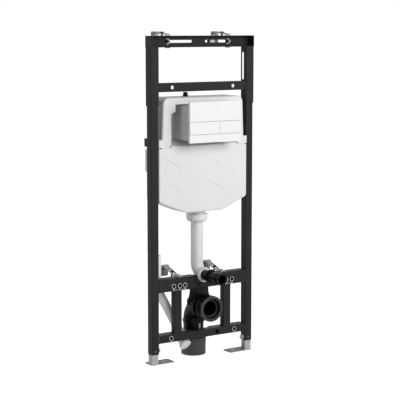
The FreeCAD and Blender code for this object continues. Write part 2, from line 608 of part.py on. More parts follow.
def make_cistern_cover():
    cover = crowned_block("cistern_cover", TANK_SEAM, COVER_HEIGHT)
    strips = new_sketch(cover, "XZ")
    for _, side in SIDES:
        polygon(strips, [(f"{side} * {COVER_HALF}", "ear_height"), (f"{side} * {TANK_HALF}", "ear_height"),
                         (f"{side} * {TANK_HALF}", COVER_HEIGHT),
                         (f"{side} * ({COVER_HALF} - cover_draft)", COVER_HEIGHT)])
    cut(cover, strips)
    rounded(cover, "cover_corner", lambda edge, box: along(edge, "y") and at_top(edge, box))
    rounded(cover, "cover_edge", lambda edge, box: tank_rim(edge, box)
            and edge.CenterOfMass.z > size("ear_height") + NEAR)

    swell = "(tank_front + tank_crown)"
    well = new_sketch(cover, "XZ", swell)
    step_low = f"({WELL_HIGH} - well_step_height - well_step_rise)"
    step_high, narrow = f"({WELL_HIGH} - well_step_height)", f"({WELL_HALF} - well_step)"
    sill_back = "(shaft_rise - sill_gap)"
    polygon(well, [(f"-{WELL_HALF}", sill_back), (WELL_HALF, sill_back), (WELL_HALF, step_low),
                   (narrow, step_high), (narrow, WELL_HIGH), (f"-{narrow}", WELL_HIGH),
                   (f"-{narrow}", step_high), (f"-{WELL_HALF}", step_low)])
    cut(cover, well, f"{swell} + well_back")
    sill = new_sketch(cover, "YZ")
    polygon(sill, [(f"-{swell}", "well_rise"), ("well_back", sill_back), (f"-{swell}", sill_back)])
    cut(cover, sill, f"2 * {WELL_HALF}", both=True)

    # the hollow goes round the well, over it and under its sill
    outer, inner = f"({COVER_HALF} - cover_draft - tank_wall)", f"({WELL_HALF} + tank_wall)"
    front, behind, back = "tank_wall - tank_front", "well_back + tank_wall", "tank_back - tank_wall"
    around = new_sketch(cover, "XY")
    polygon(around, [(f"-{outer}", front), (f"-{inner}", front), (f"-{inner}", behind), (inner, behind),
                     (inner, front), (outer, front), (outer, back), (f"-{outer}", back)])
    cut(cover, around, f"{COVER_HEIGHT} - cover_corner", along_normal=True)
    over = new_sketch(cover, "XY", f"{WELL_HIGH} + tank_wall")
    rectangle(over, f"-{inner}", inner, front, back)
    cut(cover, over, "cover_roof - 2 * tank_wall", along_normal=True)
    under = new_sketch(cover, "YZ")
    polygon(under, [(front, "0"), (behind, "0"), (behind, f"{sill_back} - tank_wall")])
    cut(cover, under, f"2 * {WELL_HALF}", both=True)

    ticks = new_sketch(cover, "XZ", swell)
    for _, side in SIDES:
        for place in ("tick_near", "tick_far"):
            rectangle(ticks, f"{side} * {place} - tick_width / 2", f"{side} * {place} + tick_width / 2", "0",
                      "tick_height")
    cut(cover, ticks, "tank_crown + tick_depth")


def make_inlet_cap():
    cap = new_body("inlet_cap", "-inlet_at", "inlet_depth", f"{TANK_SEAM} + {COVER_HEIGHT}")
    wide, step = "inlet_radius + inlet_flange", "inlet_height / 4"
    sketch = new_sketch(cap, "YZ")
    polygon(sketch, [("0", "0"), (wide, "0"), (wide, step), ("inlet_radius", step),
                     ("inlet_radius - inlet_flange / 2", "inlet_height"), ("0", "inlet_height")])
    turn(cap, sketch, "V")


# Service shaft from the tank to the flush plate
def make_service_shaft():
    shaft = new_body("service_shaft", z=SHAFT_LOW)
    half = "(shaft_width / 2)"
    sketch = new_sketch(shaft, "XZ", "-well_back")
    rectangle(sketch, f"-{half}", half, "0", "shaft_height")
    inner = f"({half} - shaft_wall)"
    rectangle(sketch, f"-{inner}", inner, "shaft_wall", "shaft_height - shaft_wall")
    pad(shaft, sketch, "well_back + plate_reach - plate_depth")
    ribs = new_sketch(shaft, "XZ", "-well_back")
    for _, side in SIDES:
        left, right = ordered(side, inner, f"{half} + rib_proud")
        for i in range(RIB_COUNT):
            low = f"rib_rise + {i} * rib_step"
            rectangle(ribs, left, right, low, f"{low} + rib_height")
    pad(shaft, ribs, "rib_depth")
    bevel = new_sketch(shaft, "YZ")
    polygon(bevel, [("well_back", "shaft_height"), ("well_back - shaft_bevel", "shaft_height"),
                    ("well_back", "shaft_height - shaft_bevel")])
    cut(shaft, bevel)


# Flush plate with its two press buttons
def make_flush_plate():
    plate = new_body("flush_plate", y="-plate_reach")
    high = f"({PLATE_LOW} + plate_height)"
    slot_low, slot_high = f"({BUTTON_LOW} - button_gap)", f"({BUTTON_HIGH} + button_gap)"
    face = "(plate_depth - plate_base)"
    sketch = new_sketch(plate, "YZ")
    polygon(sketch, [("0", PLATE_LOW), ("plate_depth", PLATE_LOW), ("plate_depth", high), ("0", high),
                     ("0", slot_high), (face, slot_high), (face, slot_low), ("0", slot_low)])
    pad(plate, sketch, "plate_width", both=True)
    rounded(plate, "plate_corner", box_edge("y"))
    holes = new_sketch(plate, "XZ")
    for place in ROD_PLACES:
        circle(holes, place, BUTTON_MIDDLE, "rod_radius + seat_gap")
    cut(plate, holes)
    hollows = new_sketch(plate, "XZ", "-plate_depth")
    side = "(plate_width / 2 - plate_rim)"
    rectangle(hollows, f"-{side}", side, f"{slot_high} + plate_base", f"{high} - plate_rim")
    rectangle(hollows, f"-{side}", side, f"{PLATE_LOW} + plate_rim", f"{slot_low} - plate_base")
    cut(plate, hollows, face, along_normal=True)


def make_button(label, left, right, rods):
    button = new_body(label, y="-plate_reach")
    sketch = new_sketch(button, "XZ")
    rectangle(sketch, left, right, BUTTON_LOW, BUTTON_HIGH)
    pad(button, sketch, "button_thick", back=True)
    pins = new_sketch(button, "XZ")
    for place in rods:
        circle(pins, place, BUTTON_MIDDLE, "rod_radius")
    pad(button, pins, "rod_length", back=True)


def make_buttons():
    make_button("large_button", "-plate_width / 2", "button_split - button_gap / 2", ROD_PLACES[:2])
    make_button("small_button", "button_split + button_gap / 2", "plate_width / 2", ROD_PLACES[2:])


# Flush pipe
def elbow_path(body, start, radius, reach, rising):
    """Upright from start, round a bend and level to the front at the body's zero, in its YZ plane."""
    path = new_sketch(body, "YZ")
    bow = size(radius)
    knee = -bow if rising else bow
    foot, end = 4 * knee, -3 * bow
    bend = Part.Circle(Vector(-bow, knee), UNITS["z"], bow)
    sweep = (0, math.pi / 2) if rising else (-math.pi / 2, 0)
    near, far = (1, 2) if rising else (2, 1)
    upright = path.addGeometry(Part.LineSegment(Vector(0, foot), Vector(0, knee)), False)
    arc = path.addGeometry(Part.ArcOfCircle(bend, *sweep), False)
    level = path.addGeometry(Part.LineSegment(Vector(-bow, 0), Vector(end, 0)), False)
    for kind, places in (("Tangent", (upright, 2, arc, near)), ("Tangent", (arc, far, level, 1)),
                         ("Vertical", (upright,)), ("Horizontal", (level,))):
        path.addConstraint(Sketcher.Constraint(kind, *places))
    fix(path, "Radius", radius, arc, start=bow)
    fix(path, "DistanceX", "0", -1, 1, upright, 1, start=0)
    fix(path, "DistanceY", start, -1, 1, upright, 1, start=foot)
    fix(path, "DistanceY", "0", -1, 1, level, 2, start=0)
    fix(path, "DistanceX", reach, -1, 1, level, 2, start=end)
    return path


def pipe_section(body, radius, start, path, remove=False):
    """A round section of the given radius along an elbow path from its start."""
    ring = new_sketch(body, "XY", start)
    circle(ring, "0", "0", radius)
    follow(body, ring, path, remove)


def make_flush_nut():
    nut = new_body("flush_nut", y="flush_axis", z="tank_floor - nut_drop")
    fit = "flush_radius + seat_gap"
    sketch = new_sketch(nut, "YZ")
    polygon(sketch, [(fit, "-nut_height"), ("nut_radius - nut_taper", "-nut_height"),
                     ("nut_radius", "nut_taper_height - nut_height"), ("nut_radius", "0"),
                     ("neck_radius", "0"), ("neck_radius", "nut_drop"), ("flush_bore", "nut_drop"),
                     ("flush_bore", "0"), (fit, "0")])
    turn(nut, sketch, "V")


def make_flush_pipe():
    pipe = new_body("flush_pipe", y="flush_axis", z="flush_height")
    start = "tank_floor - nut_drop - flush_height"
    end = "(-flush_axis - flush_end)"
    path = elbow_path(pipe, start, "flush_bend", end, rising=False)
    pipe_section(pipe, "flush_radius", start, path)
    lip = new_sketch(pipe, "YZ")
    rectangle(lip, end, f"{end} + flush_lip_length", "flush_bore", "flush_radius + flush_lip")
    turn(pipe, lip, "H")
    pipe_section(pipe, "flush_bore", start, path, remove=True)


def make_flush_sleeve():
    sleeve = new_body("flush_sleeve", z="flush_height")
    front, rear = "(-rubber_front)", "flush_axis - flush_bend"
    flange = "(-rubber_flange_at)"
    outline = [(front, "rubber_bore"), (rear, "rubber_bore"), (rear, "rubber_radius"),
               (f"{flange} + rubber_flange_thick", "rubber_radius"),
               (f"{flange} + rubber_flange_thick", "rubber_flange"), (flange, "rubber_flange"),
               (flange, "rubber_radius")]
    for i in reversed(range(RUBBER_RIBS)):
        rib = f"({front} + {i} * rubber_rib_step)"
        back = f"({rib} + rubber_rib_width)"
        outline += [(back, "rubber_radius"), (back, "rubber_rib"), (rib, "rubber_rib")]
        if i:
            outline.append((rib, "rubber_radius"))
    sketch = new_sketch(sleeve, "YZ")
    polygon(sketch, outline)
    turn(sleeve, sketch, "H")


# Drain
def make_drain_elbow():
    elbow = new_body("drain_elbow", y="drain_axis", z="drain_height")
    start = "spigot_end - drain_height"
    end = "(socket_length - socket_front - drain_axis)"
    path = elbow_path(elbow, start, "drain_bend", end, rising=True)
    pipe_section(elbow, "drain_radius", start, path)
    proud = "drain_radius + drain_ring"
    low_ring = new_sketch(elbow, "YZ")
    rectangle(low_ring, "drain_bore", proud, "-drain_bend - drain_ring_width", "-drain_bend")
    turn(elbow, low_ring, "V")
    front_ring = new_sketch(elbow, "YZ")
    rectangle(front_ring, "-drain_bend - drain_ring_width", "-drain_bend", "drain_bore", proud)
    turn(elbow, front_ring, "H")
    pipe_section(elbow, "drain_bore", start, path, remove=True)


def make_drain_socket():
    socket = new_body("drain_socket", z="drain_height")
    mouth, rear = "(-socket_front)", "(socket_length - socket_front)"
    rim, body = f"{mouth} + socket_rim", "socket_radius - socket_step"
    floor = f"{rear} - socket_floor"
    sketch = new_sketch(socket, "YZ")
    polygon(sketch, [(mouth, "socket_bore"), (mouth, "socket_radius"), (rim, "socket_radius"), (rim, body),
                     (rear, body), (rear, "drain_bore"), (floor, "drain_bore"), (floor, "socket_bore")])
    turn(socket, sketch, "H")

    seal = new_body("drain_seal", z="drain_height")
    front = f"{mouth} + seal_inset"
    sketch = new_sketch(seal, "YZ")
    rectangle(sketch, front, f"{front} + seal_length", "seal_bore", "socket_bore - seal_gap")
    turn(seal, sketch, "H")


def make_drain_adapter():
    adapter = new_body("drain_adapter", y="drain_axis", z="adapter_low")
    fit, inside = "drain_radius + seat_gap", "adapter_radius - adapter_wall"
    stop, high = "spigot_end - adapter_low", "adapter_height - adapter_edge"
    sketch = new_sketch(adapter, "YZ")
    collar, outer = "adapter_height - adapter_collar", "adapter_radius + adapter_step"
    polygon(sketch, [(inside, "0"), ("adapter_radius", "0"), ("adapter_radius", collar), (outer, collar),
                     (outer, high), (f"{outer} - adapter_edge", "adapter_height"), (fit, "adapter_height"),
                     (fit, stop), (inside, f"{stop} - adapter_taper")])
    turn(adapter, sketch, "V")
    lug = new_sketch(adapter, "XZ", f"{outer} + lug_proud")
    rectangle(lug, "-lug_width / 2", "lug_width / 2", f"{high} - lug_height", high)
    pad(adapter, lug, "lug_proud + adapter_wall", back=True)


def make_drain_clamp():
    clamp = new_body("drain_clamp", y="drain_axis", z="bottom_rail_low + band_rise")
    fit = "drain_radius + seat_gap"
    sketch = new_sketch(clamp, "YZ")
    rectangle(sketch, fit, f"{fit} + band_thick", "0", "band_height")
    turn(clamp, sketch, "V")
    strap = new_sketch(clamp, "XY", "-strap_drop")
    rectangle(strap, "-strap_width / 2", "strap_width / 2", f"-{STRAP_FRONT}", f"band_thick - {STRAP_FRONT}")
    pad(clamp, strap, "strap_drop + band_height + strap_rise")


# Conduit that runs down behind the left strut and turns forward under the bottom rail
def bent_route(points, radii):
    """A wire of straight runs through points, with a tangent arc of the given radius at each inner one."""
    edges, start = [], points[0]
    for before, corner, after, radius in zip(points, points[1:], points[2:], radii):
        into = (before - corner).normalize()
        out = (after - corner).normalize()
        opening = into.getAngle(out)
        reach = radius / math.tan(opening / 2)
        middle = (into + out).normalize() * (radius / math.sin(opening / 2) - radius)
        first, last = corner + into * reach, corner + out * reach
        edges.append(Part.LineSegment(start, first).toShape())
        edges.append(Part.Arc(first, corner + middle, last).toShape())
        start = last
    edges.append(Part.LineSegment(start, points[-1]).toShape())
    return Part.Wire(edges)


def bar_along(route, radius):
    """A round bar swept along a route."""
    edge = route.Edges[0]
    start = edge.firstVertex().Point
    ring = Part.Wire(Part.makeCircle(radius, start, edge.tangentAt(edge.FirstParameter)))
    return route.makePipeShell([ring], True, False)


def new_solid(label, shape):
    """A named sub-part with a shape of its own, placed like the bodies."""
    solid = doc.addObject("Part::Feature", label)
    solid.Label = label
    solid.Shape = shape
    solid.Placement.Base = Vector((size("frame_width") - size("post_size")) / 2, -size("post_size") / 2, 0)
    PARTS.append(solid)


def make_conduit():
    side, back = -size("conduit_x"), size("conduit_y")
    points = [Vector(side, back, size("conduit_top")), Vector(side, back, size("conduit_knee")),
              Vector(-size("conduit_low_x"), size("conduit_low_y"), size("conduit_low")),
              Vector(-size("conduit_turn_x"), size("conduit_turn_y"), size("conduit_turn")),
              Vector(-size("conduit_end_x"), size("conduit_end_y"), size("conduit_end"))]
    radii = [size("conduit_bend"), size("conduit_bend"), size("conduit_tight_bend")]
    route = bent_route(points, radii)
    radius = size("conduit_radius")
    new_solid("conduit_pipe", bar_along(route, radius).cut(bar_along(route, radius - size("conduit_wall"))))
    ahead = (points[-1] - points[-2]).normalize()
    skirt = ahead * size("conduit_cap_skirt")
    cap = Part.makeCylinder(size("conduit_cap"), size("conduit_cap_length"), points[-1] - skirt, ahead)
    socket = Part.makeCylinder(radius + size("seat_gap"), skirt.Length, points[-1] - skirt, ahead)
    new_solid("conduit_cap", cap.cut(socket))


make_posts()
make_sleeves()
make_top_rail()
make_rails()
make_struts()
make_hanger()
make_feet()
make_clamp_bolts()
make_low_brackets()
make_high_brackets()
make_all_sockets()
make_cistern_body()
make_cistern_cover()
make_inlet_cap()
make_service_shaft()
make_flush_plate()
make_buttons()
make_flush_nut()
make_flush_pipe()
make_flush_sleeve()
make_drain_elbow()
make_drain_socket()
make_drain_adapter()
make_drain_clamp()
make_conduit()
doc.recompute()

broken = [o.Name for o in doc.Objects if {"Invalid", "Error"} & set(o.State)]
broken += [part.Label for part in PARTS if part.Shape.isNull() or not part.Shape.isValid()]
if broken:
    raise RuntimeError("failed: " + ", ".join(broken))
os.makedirs("parts", exist_ok=True)
for part in PARTS:
    part.Shape.exportStep(f"parts/{part.Label}.step")
print(len(PARTS), "parts")
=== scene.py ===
"""Dresses the wall hung toilet frame: finishes, fasteners, small fittings, light and camera."""
import json
import math

import bmesh
import bpy
from bpy.props import FloatProperty, FloatVectorProperty, PointerProperty
from bpy.types import Operator, Panel, PropertyGroup
from mathutils import Matrix, Vector


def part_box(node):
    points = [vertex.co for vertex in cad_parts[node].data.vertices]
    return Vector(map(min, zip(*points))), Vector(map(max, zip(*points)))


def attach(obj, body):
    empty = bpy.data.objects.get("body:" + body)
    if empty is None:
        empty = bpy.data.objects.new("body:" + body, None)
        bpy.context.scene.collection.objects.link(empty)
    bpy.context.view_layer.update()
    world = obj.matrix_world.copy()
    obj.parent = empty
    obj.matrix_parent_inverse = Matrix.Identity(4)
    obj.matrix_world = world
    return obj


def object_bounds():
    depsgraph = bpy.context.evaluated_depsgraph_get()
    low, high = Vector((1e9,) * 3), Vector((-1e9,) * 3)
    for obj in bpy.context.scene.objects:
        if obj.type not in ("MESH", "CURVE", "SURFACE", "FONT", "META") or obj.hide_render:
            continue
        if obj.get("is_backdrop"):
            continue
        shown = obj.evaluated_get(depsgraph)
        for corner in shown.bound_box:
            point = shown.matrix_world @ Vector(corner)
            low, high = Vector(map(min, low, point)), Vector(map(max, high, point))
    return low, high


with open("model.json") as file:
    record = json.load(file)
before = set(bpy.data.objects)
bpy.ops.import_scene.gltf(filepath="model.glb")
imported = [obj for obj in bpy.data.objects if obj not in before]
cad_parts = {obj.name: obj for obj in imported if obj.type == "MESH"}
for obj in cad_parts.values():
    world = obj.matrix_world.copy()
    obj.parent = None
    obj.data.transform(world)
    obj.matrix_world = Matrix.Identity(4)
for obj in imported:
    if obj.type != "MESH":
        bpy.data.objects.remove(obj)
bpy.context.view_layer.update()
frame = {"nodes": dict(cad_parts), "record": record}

bl_info = {
    "name": "Wall hung toilet frame",
    "version": (1, 0, 0),
    "blender": (4, 5, 0),
    "location": "View3D > Sidebar > Toilet frame",
    "description": "Finishes and small fittings of a wall hung toilet frame",
    "category": "Object",
}

NODES = frame["nodes"]
MOUNTS = {mount["name"]: mount for mount in frame["record"]["mounts"]}
SLOT_NODES = {}
for subpart in frame["record"]["subparts"]:
    SLOT_NODES.setdefault(subpart["material_slot"], []).append(subpart["node"])

# Mid-width and the posts' front faces in metres, from which places are given in millimetres
MM = 0.001
MID_X = (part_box("left_post")[0].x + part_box("right_post")[1].x) / 2
FRONT_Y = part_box("left_post")[0].y
FRAME_BODY = "frame"
SIDES = (("left", -1), ("right", 1))
RIGHT, BACKWARD, UP = Vector((1, 0, 0)), Vector((0, 1, 0)), Vector((0, 0, 1))
FORWARD = -BACKWARD


def place(x, y, z):
    """A point given in millimetres from mid-width, the posts' front faces and the floor."""
    return Vector((MID_X + x * MM, FRONT_Y + y * MM, z * MM))


def measure(point):
    """Millimetres from mid-width, the posts' front faces and the floor to a point in metres."""
    return Vector((point[0] - MID_X, point[1] - FRONT_Y, point[2])) / MM


def span(node):
    """Lowest and highest corner of a CAD piece, in millimetres."""
    return [measure(corner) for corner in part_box(node)]


def middle(node):
    """Middle of a CAD piece's box, in millimetres."""
    low, high = span(node)
    return (low + high) / 2


def hole_pair(mount):
    """Distance from mid-width, depth and height of a pair of holes, in millimetres."""
    at = measure(MOUNTS[mount]["pos_m"])
    return MOUNTS[mount]["dims"]["spacing_x_mm"] / 2, at.y, at.z


# Places that come from the frame, in millimetres
POST_INSIDE = span("right_post")[0].x
LEG = middle("right_post")
TOP_RAIL_WEB, TOP_RAIL_HEIGHT = span("top_rail")[1].y, middle("top_rail").z
STUD_RAIL_TOP, STUD_RAIL_DEPTH = span("stud_rail")[1].z, middle("stud_rail").y
STUD_HOLES = [hole_pair(f"stud_sockets_{spacing}") for spacing in (180, 230, 290)]
ANCHOR_HOLES = [hole_pair("lower_anchor_sockets")]
TANK_CROWN, TANK_BACK = span("cistern_body")[0].y, span("cistern_body")[1].y
TANK_SEAM = span("cistern_body")[1].z
DRAIN_DEPTH = measure(MOUNTS["drain_outlet_spigot"]["pos_m"]).y
DRAIN_HEIGHT = middle("drain_seal").z

# Radius of the tank's swelling front, and the ends of its creases: across and height in millimetres
TANK_SWELL = 2316
CREASES = (((-209, 858), (-104, 802)), ((-209, 765), (-102, 710)), ((36, 838), (95, 804)),
           ((5, 758), (95, 709)))
# Depth and height of the bolts in the bracket slots, and the slope of the arms that carry them
SLOT_BOLTS = {"low": (72, 365.8, 0.29), "high": (80, 1350.4, 0.11)}
# Where a weld bead starts behind the front faces, and how much its thickness ripples
WELD_FRONT, WELD_RIPPLE = 5, 0.14
# Front edge, radius and width of the rings round the drain's mouth
DRAIN_RINGS = ((-37, 53.4, 7), (-24, 51.6, 5), (-3, 53.4, 8))
# Width of each lamp in metres and its place in millimetres
LAMPS = {"key": (1.8, (450, -3100, 2350)), "side": (0.15, (-6000, 17, 700)),
         "sheen": (0.9, (1950, -3000, 1800)), "fill": (1.6, (900, -2800, 350))}
LAMP_AIM = place(0, 50, 650)
# The camera's place, its tilt downwards and its turn in degrees
CAMERA_PLACE = place(-2930.6, -4403.8, 1373.8)
CAMERA_PITCH, CAMERA_YAW = 7.616, -33.5
# Half width of the floor and its gap under the feet in metres, and how bright it looks
FLOOR_HALF, FLOOR_GAP, FLOOR_GLOW = 20, 0.0005, 0.8

# Values between which noise mostly stays, and the brightest that a tone makes a colour
NOISE_LOW, NOISE_HIGH = 0.3, 0.7
BRIGHTEST = 0.95


class Finish:
    """A procedural material with the few node chains that the finishes share."""

    def __init__(self, name):
        self.material = bpy.data.materials.new(name)
        self.material.use_nodes = True
        self.nodes = self.material.node_tree.nodes
        self.links = self.material.node_tree.links
        self.shader = self.nodes["Principled BSDF"]
        self.where = self.nodes.new("ShaderNodeTexCoord").outputs["Object"]

    def stretched(self, x, y, z):
        """Object coordinates scaled along each axis."""
        mapping = self.nodes.new("ShaderNodeMapping")
        mapping.inputs["Scale"].default_value = (x, y, z)
        self.links.new(self.where, mapping.inputs["Vector"])
        return mapping.outputs["Vector"]

    def noise(self, scale, detail=3.0, where=None):
        """Cloudy variation, scale in features per metre."""
        node = self.nodes.new("ShaderNodeTexNoise")
        node.inputs["Scale"].default_value = scale
        node.inputs["Detail"].default_value = detail
        self.links.new(where or self.where, node.inputs["Vector"])
        return node.outputs["Fac"]

    def cells(self, scale):
        """A random tone for each cell of a crystal pattern."""
        node = self.nodes.new("ShaderNodeTexVoronoi")
        node.inputs["Scale"].default_value = scale
        self.links.new(self.where, node.inputs["Vector"])
        tone = self.nodes.new("ShaderNodeSeparateColor")
        self.links.new(node.outputs["Color"], tone.inputs["Color"])
        return tone.outputs["Red"]

    def ramp(self, value, low, high, start=NOISE_LOW, stop=NOISE_HIGH):
        """A colour that runs from low to high as value goes from start to stop."""
        node = self.nodes.new("ShaderNodeValToRGB")
        first, last = node.color_ramp.elements
        first.position, last.position = start, stop
        first.color, last.color = (*low, 1), (*high, 1)
        self.links.new(value, node.inputs["Fac"])
        return node.outputs["Color"]

    def between(self, value, low, high):
        """A number that runs from low to high with value."""
        node = self.nodes.new("ShaderNodeMapRange")
        node.inputs["From Min"].default_value = NOISE_LOW
        node.inputs["From Max"].default_value = NOISE_HIGH
        node.inputs["To Min"].default_value = low
        node.inputs["To Max"].default_value = high
        self.links.new(value, node.inputs["Value"])
        return node.outputs["Result"]

    def level(self):
        """One on faces that look straight up, nought on upright ones."""
        parts = self.nodes.new("ShaderNodeSeparateXYZ")
        normal = self.nodes.new("ShaderNodeNewGeometry").outputs["Normal"]
        self.links.new(normal, parts.inputs["Vector"])
        return parts.outputs["Z"]

    def colour(self, value, base, spread, start=NOISE_LOW, stop=NOISE_HIGH):
        """Base colour that varies by spread round its mean."""
        low = [channel * (1 - spread) for channel in base]
        high = [min(1, channel * (1 + spread)) for channel in base]
        self.links.new(self.ramp(value, low, high, start, stop), self.shader.inputs["Base Color"])

    def shade(self, tint):
        """Base colour multiplied by a tint."""
        product = self.nodes.new("ShaderNodeVectorMath")
        product.operation = "MULTIPLY"
        self.links.new(self.shader.inputs["Base Color"].links[0].from_socket, product.inputs[0])
        self.links.new(tint, product.inputs[1])
        self.links.new(product.outputs["Vector"], self.shader.inputs["Base Color"])

    def rough(self, value, low, high):
        """Roughness that varies with value."""
        self.links.new(self.between(value, low, high), self.shader.inputs["Roughness"])

    def bump(self, value, strength, distance=0.0002):
        """Relief from value, its distance in metres."""
        node = self.nodes.new("ShaderNodeBump")
        node.inputs["Strength"].default_value = strength
        node.inputs["Distance"].default_value = distance
        self.links.new(value, node.inputs["Height"])
        self.links.new(node.outputs["Normal"], self.shader.inputs["Normal"])

    def even(self, socket, value):
        """A value that is the same all over the surface."""
        self.shader.inputs[socket].default_value = value


def powder_coat(colour):
    """Satin powder coat with its fine orange peel."""
    finish = Finish("anthracite_powder_coat")
    finish.colour(finish.noise(6, detail=4), colour, spread=0.12)
    finish.rough(finish.noise(60), 0.4, 0.52)
    finish.bump(finish.noise(700, detail=2), strength=0.12, distance=0.0003)
    finish.even("Specular IOR Level", 0.12)
    return finish.material


def zinc_coat(name, colour, smoothest, roughest):
    """Faint crystals, rubbed patches and fine relief of a zinc coat."""
    finish = Finish(name)
    finish.colour(finish.cells(140), colour, spread=0.1, start=0.1, stop=0.9)
    finish.rough(finish.noise(90, detail=4), smoothest, roughest)
    finish.bump(finish.noise(420), strength=0.1)
    finish.even("Metallic", 0.3)
    return finish


def galvanised_steel(colour):
    """Bright zinc coat."""
    return zinc_coat("galvanised_steel", colour, 0.3, 0.48).material


def trodden_zinc(colour):
    """Duller zinc coat of the feet, with painted shade that darkens the upper face of the plate."""
    finish = zinc_coat("trodden_zinc", colour, 0.42, 0.58)
    # Painted shade: faces that look up are darkened to 0.42 of their colour
    finish.shade(finish.ramp(finish.level(), (1, 1, 1), (0.42, 0.42, 0.42), start=0.6, stop=0.9))
    finish.even("Specular IOR Level", 0.1)
    return finish.material


def moulded_white(colour):
    """White moulded tank wall with a fine tooled grain."""
    finish = Finish("moulded_white_tank")
    finish.colour(finish.noise(5), colour, spread=0.025)
    finish.rough(finish.noise(40), 0.48, 0.6)
    finish.bump(finish.noise(950, detail=2), strength=0.1)
    return finish.material


def moulded_grey(colour):
    """Mid grey shaft with draw marks along its depth."""
    finish = Finish("moulded_grey_shaft")
    finish.colour(finish.noise(12, where=finish.stretched(9, 1, 9)), colour, spread=0.08)
    finish.rough(finish.noise(50), 0.5, 0.62)
    finish.bump(finish.noise(800, detail=2), strength=0.12)
    return finish.material


def gloss_white(colour):
    """Polished white press plate with a faint ripple."""
    finish = Finish("gloss_white_plate")
    finish.colour(finish.noise(8, detail=2), colour, spread=0.005)
    finish.rough(finish.noise(300, detail=2), 0.25, 0.28)
    finish.bump(finish.noise(120, detail=2), strength=0.012)
    return finish.material


def drawn_white_pipe(colour):
    """White pipe with faint draw lines along its length."""
    finish = Finish("white_pipe")
    finish.colour(finish.noise(4, where=finish.stretched(14, 14, 1)), colour, spread=0.04)
    finish.rough(finish.noise(60), 0.3, 0.42)
    finish.bump(finish.noise(6, where=finish.stretched(90, 90, 3)), strength=0.06)
    return finish.material


def black_pipe(colour):
    """Black moulded pipe with a slight sheen and scuffs."""
    finish = Finish("black_moulded_pipe")
    finish.colour(finish.noise(30, detail=5), colour, spread=0.45)
    finish.rough(finish.noise(70, detail=4), 0.22, 0.34)
    finish.bump(finish.noise(600, detail=2), strength=0.14)
    finish.even("Specular IOR Level", 0.1)
    return finish.material


def warm_grey_adapter(colour):
    """Dark warm grey moulding with turned rings."""
    finish = Finish("warm_grey_adapter")
    finish.colour(finish.noise(20, detail=4), colour, spread=0.14)
    finish.rough(finish.noise(60), 0.42, 0.56)
    finish.bump(finish.noise(8, detail=2, where=finish.stretched(1, 1, 60)), strength=0.08)
    return finish.material


def black_gum(colour):
    """Black rubber with fine pores."""
    finish = Finish("black_rubber")
    finish.colour(finish.noise(45, detail=4), colour, spread=0.35)
    finish.rough(finish.noise(90), 0.24, 0.36)
    finish.bump(finish.noise(1100, detail=2), strength=0.2, distance=0.0003)
    finish.even("Specular IOR Level", 0.1)
    return finish.material


FINISHES = {
    "frame_paint": powder_coat, "zinc": galvanised_steel, "tank_plastic": moulded_white,
    "shaft_plastic": moulded_grey, "plate_plastic": gloss_white, "pipe_plastic": drawn_white_pipe,
    "black_plastic": black_pipe, "adapter_plastic": warm_grey_adapter, "black_rubber": black_gum,
}
MADE = {}
# Pieces with a finish of their own, by the end of the name: the feet get painted shade on top
OWN_FINISHES = {"_foot": trodden_zinc}
# Pieces painted darker than the rest of their slot as painted shade, or whiter as painted light, by the end
# of the name
SHADE_AND_LIGHT_TONES = {"bracket": 0.65, "drain_clamp": 0.65, "clamp_bolt": 0.65, "conduit_pipe": 1.3, "conduit_cap": 1.3}


def by_ending(table, name, default):
    """The value that a table gives for the end of a piece's name."""
    return next((value for end, value in table.items() if name.endswith(end)), default)


def finish_for(slot, tone=1.0, make=None):
    """The material of one slot, made once for each depth of tone and each way of making it."""
    make = make or FINISHES[slot]
    if (slot, tone, make) not in MADE:
        colour = getattr(bpy.context.scene.frame_colours, slot)
        MADE[slot, tone, make] = make(tuple(min(BRIGHTEST, tone * channel) for channel in colour))
    return MADE[slot, tone, make]


# Edges that turn by more than this stay sharp
SHARP = math.radians(35)


def add_piece(name, bm, slot, body=FRAME_BODY):
    """A piece from a mesh already in place, finished like a slot and carried by a body."""
    bmesh.ops.recalc_face_normals(bm, faces=bm.faces)
    for face in bm.faces:
        face.smooth = True
    for edge in bm.edges:
        if len(edge.link_faces) == 2 and edge.calc_face_angle() > SHARP:
            edge.smooth = False
    mesh = bpy.data.meshes.new(name)
    bm.to_mesh(mesh)
    bm.free()
    piece = bpy.data.objects.new(name, mesh)
    bpy.context.scene.collection.objects.link(piece)
    mesh.materials.append(finish_for(slot))
    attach(piece, body)


def facing(axis):
    """A turn that takes +Z to an axis."""
    return axis.normalized().to_track_quat("Z", "Y").to_matrix().to_4x4()


def circle(steps):
    """Angles of evenly spaced points round a circle."""
    return [2 * math.pi * i / steps for i in range(steps)]


def join_loops(bm, loops):
    """Walls between loops of as many points each, with a lid on the first and the last."""
    for low, high in zip(loops, loops[1:]):
        for i in range(len(low)):
            j = (i + 1) % len(low)
            bm.faces.new((low[i], low[j], high[j], high[i]))
    bm.faces.new(loops[0][::-1])
    bm.faces.new(loops[-1])


def turned(bm, profile, at, axis, steps=32):
    """A body turned round an axis, from (radius, height) pairs in millimetres that end on it or close."""
    turn = Matrix.Translation(at) @ facing(axis)
    rings = []
    for radius, height in profile:
        if radius == 0:
            rings.append([bm.verts.new(turn @ Vector((0, 0, height * MM)))])
        elif rings and (radius, height) == profile[0]:
            rings.append(rings[0])
        else:
            ring = []
            for a in circle(steps):
                point = Vector((radius * MM * math.cos(a), radius * MM * math.sin(a), height * MM))
                ring.append(bm.verts.new(turn @ point))
            rings.append(ring)
    for low, high in zip(rings, rings[1:]):
        for i in range(steps):
            j = (i + 1) % steps
            corners = [low[i % len(low)], low[j % len(low)], high[j % len(high)], high[i % len(high)]]
            unique = list(dict.fromkeys(corners))
            if len(unique) > 2:
                bm.faces.new(unique)


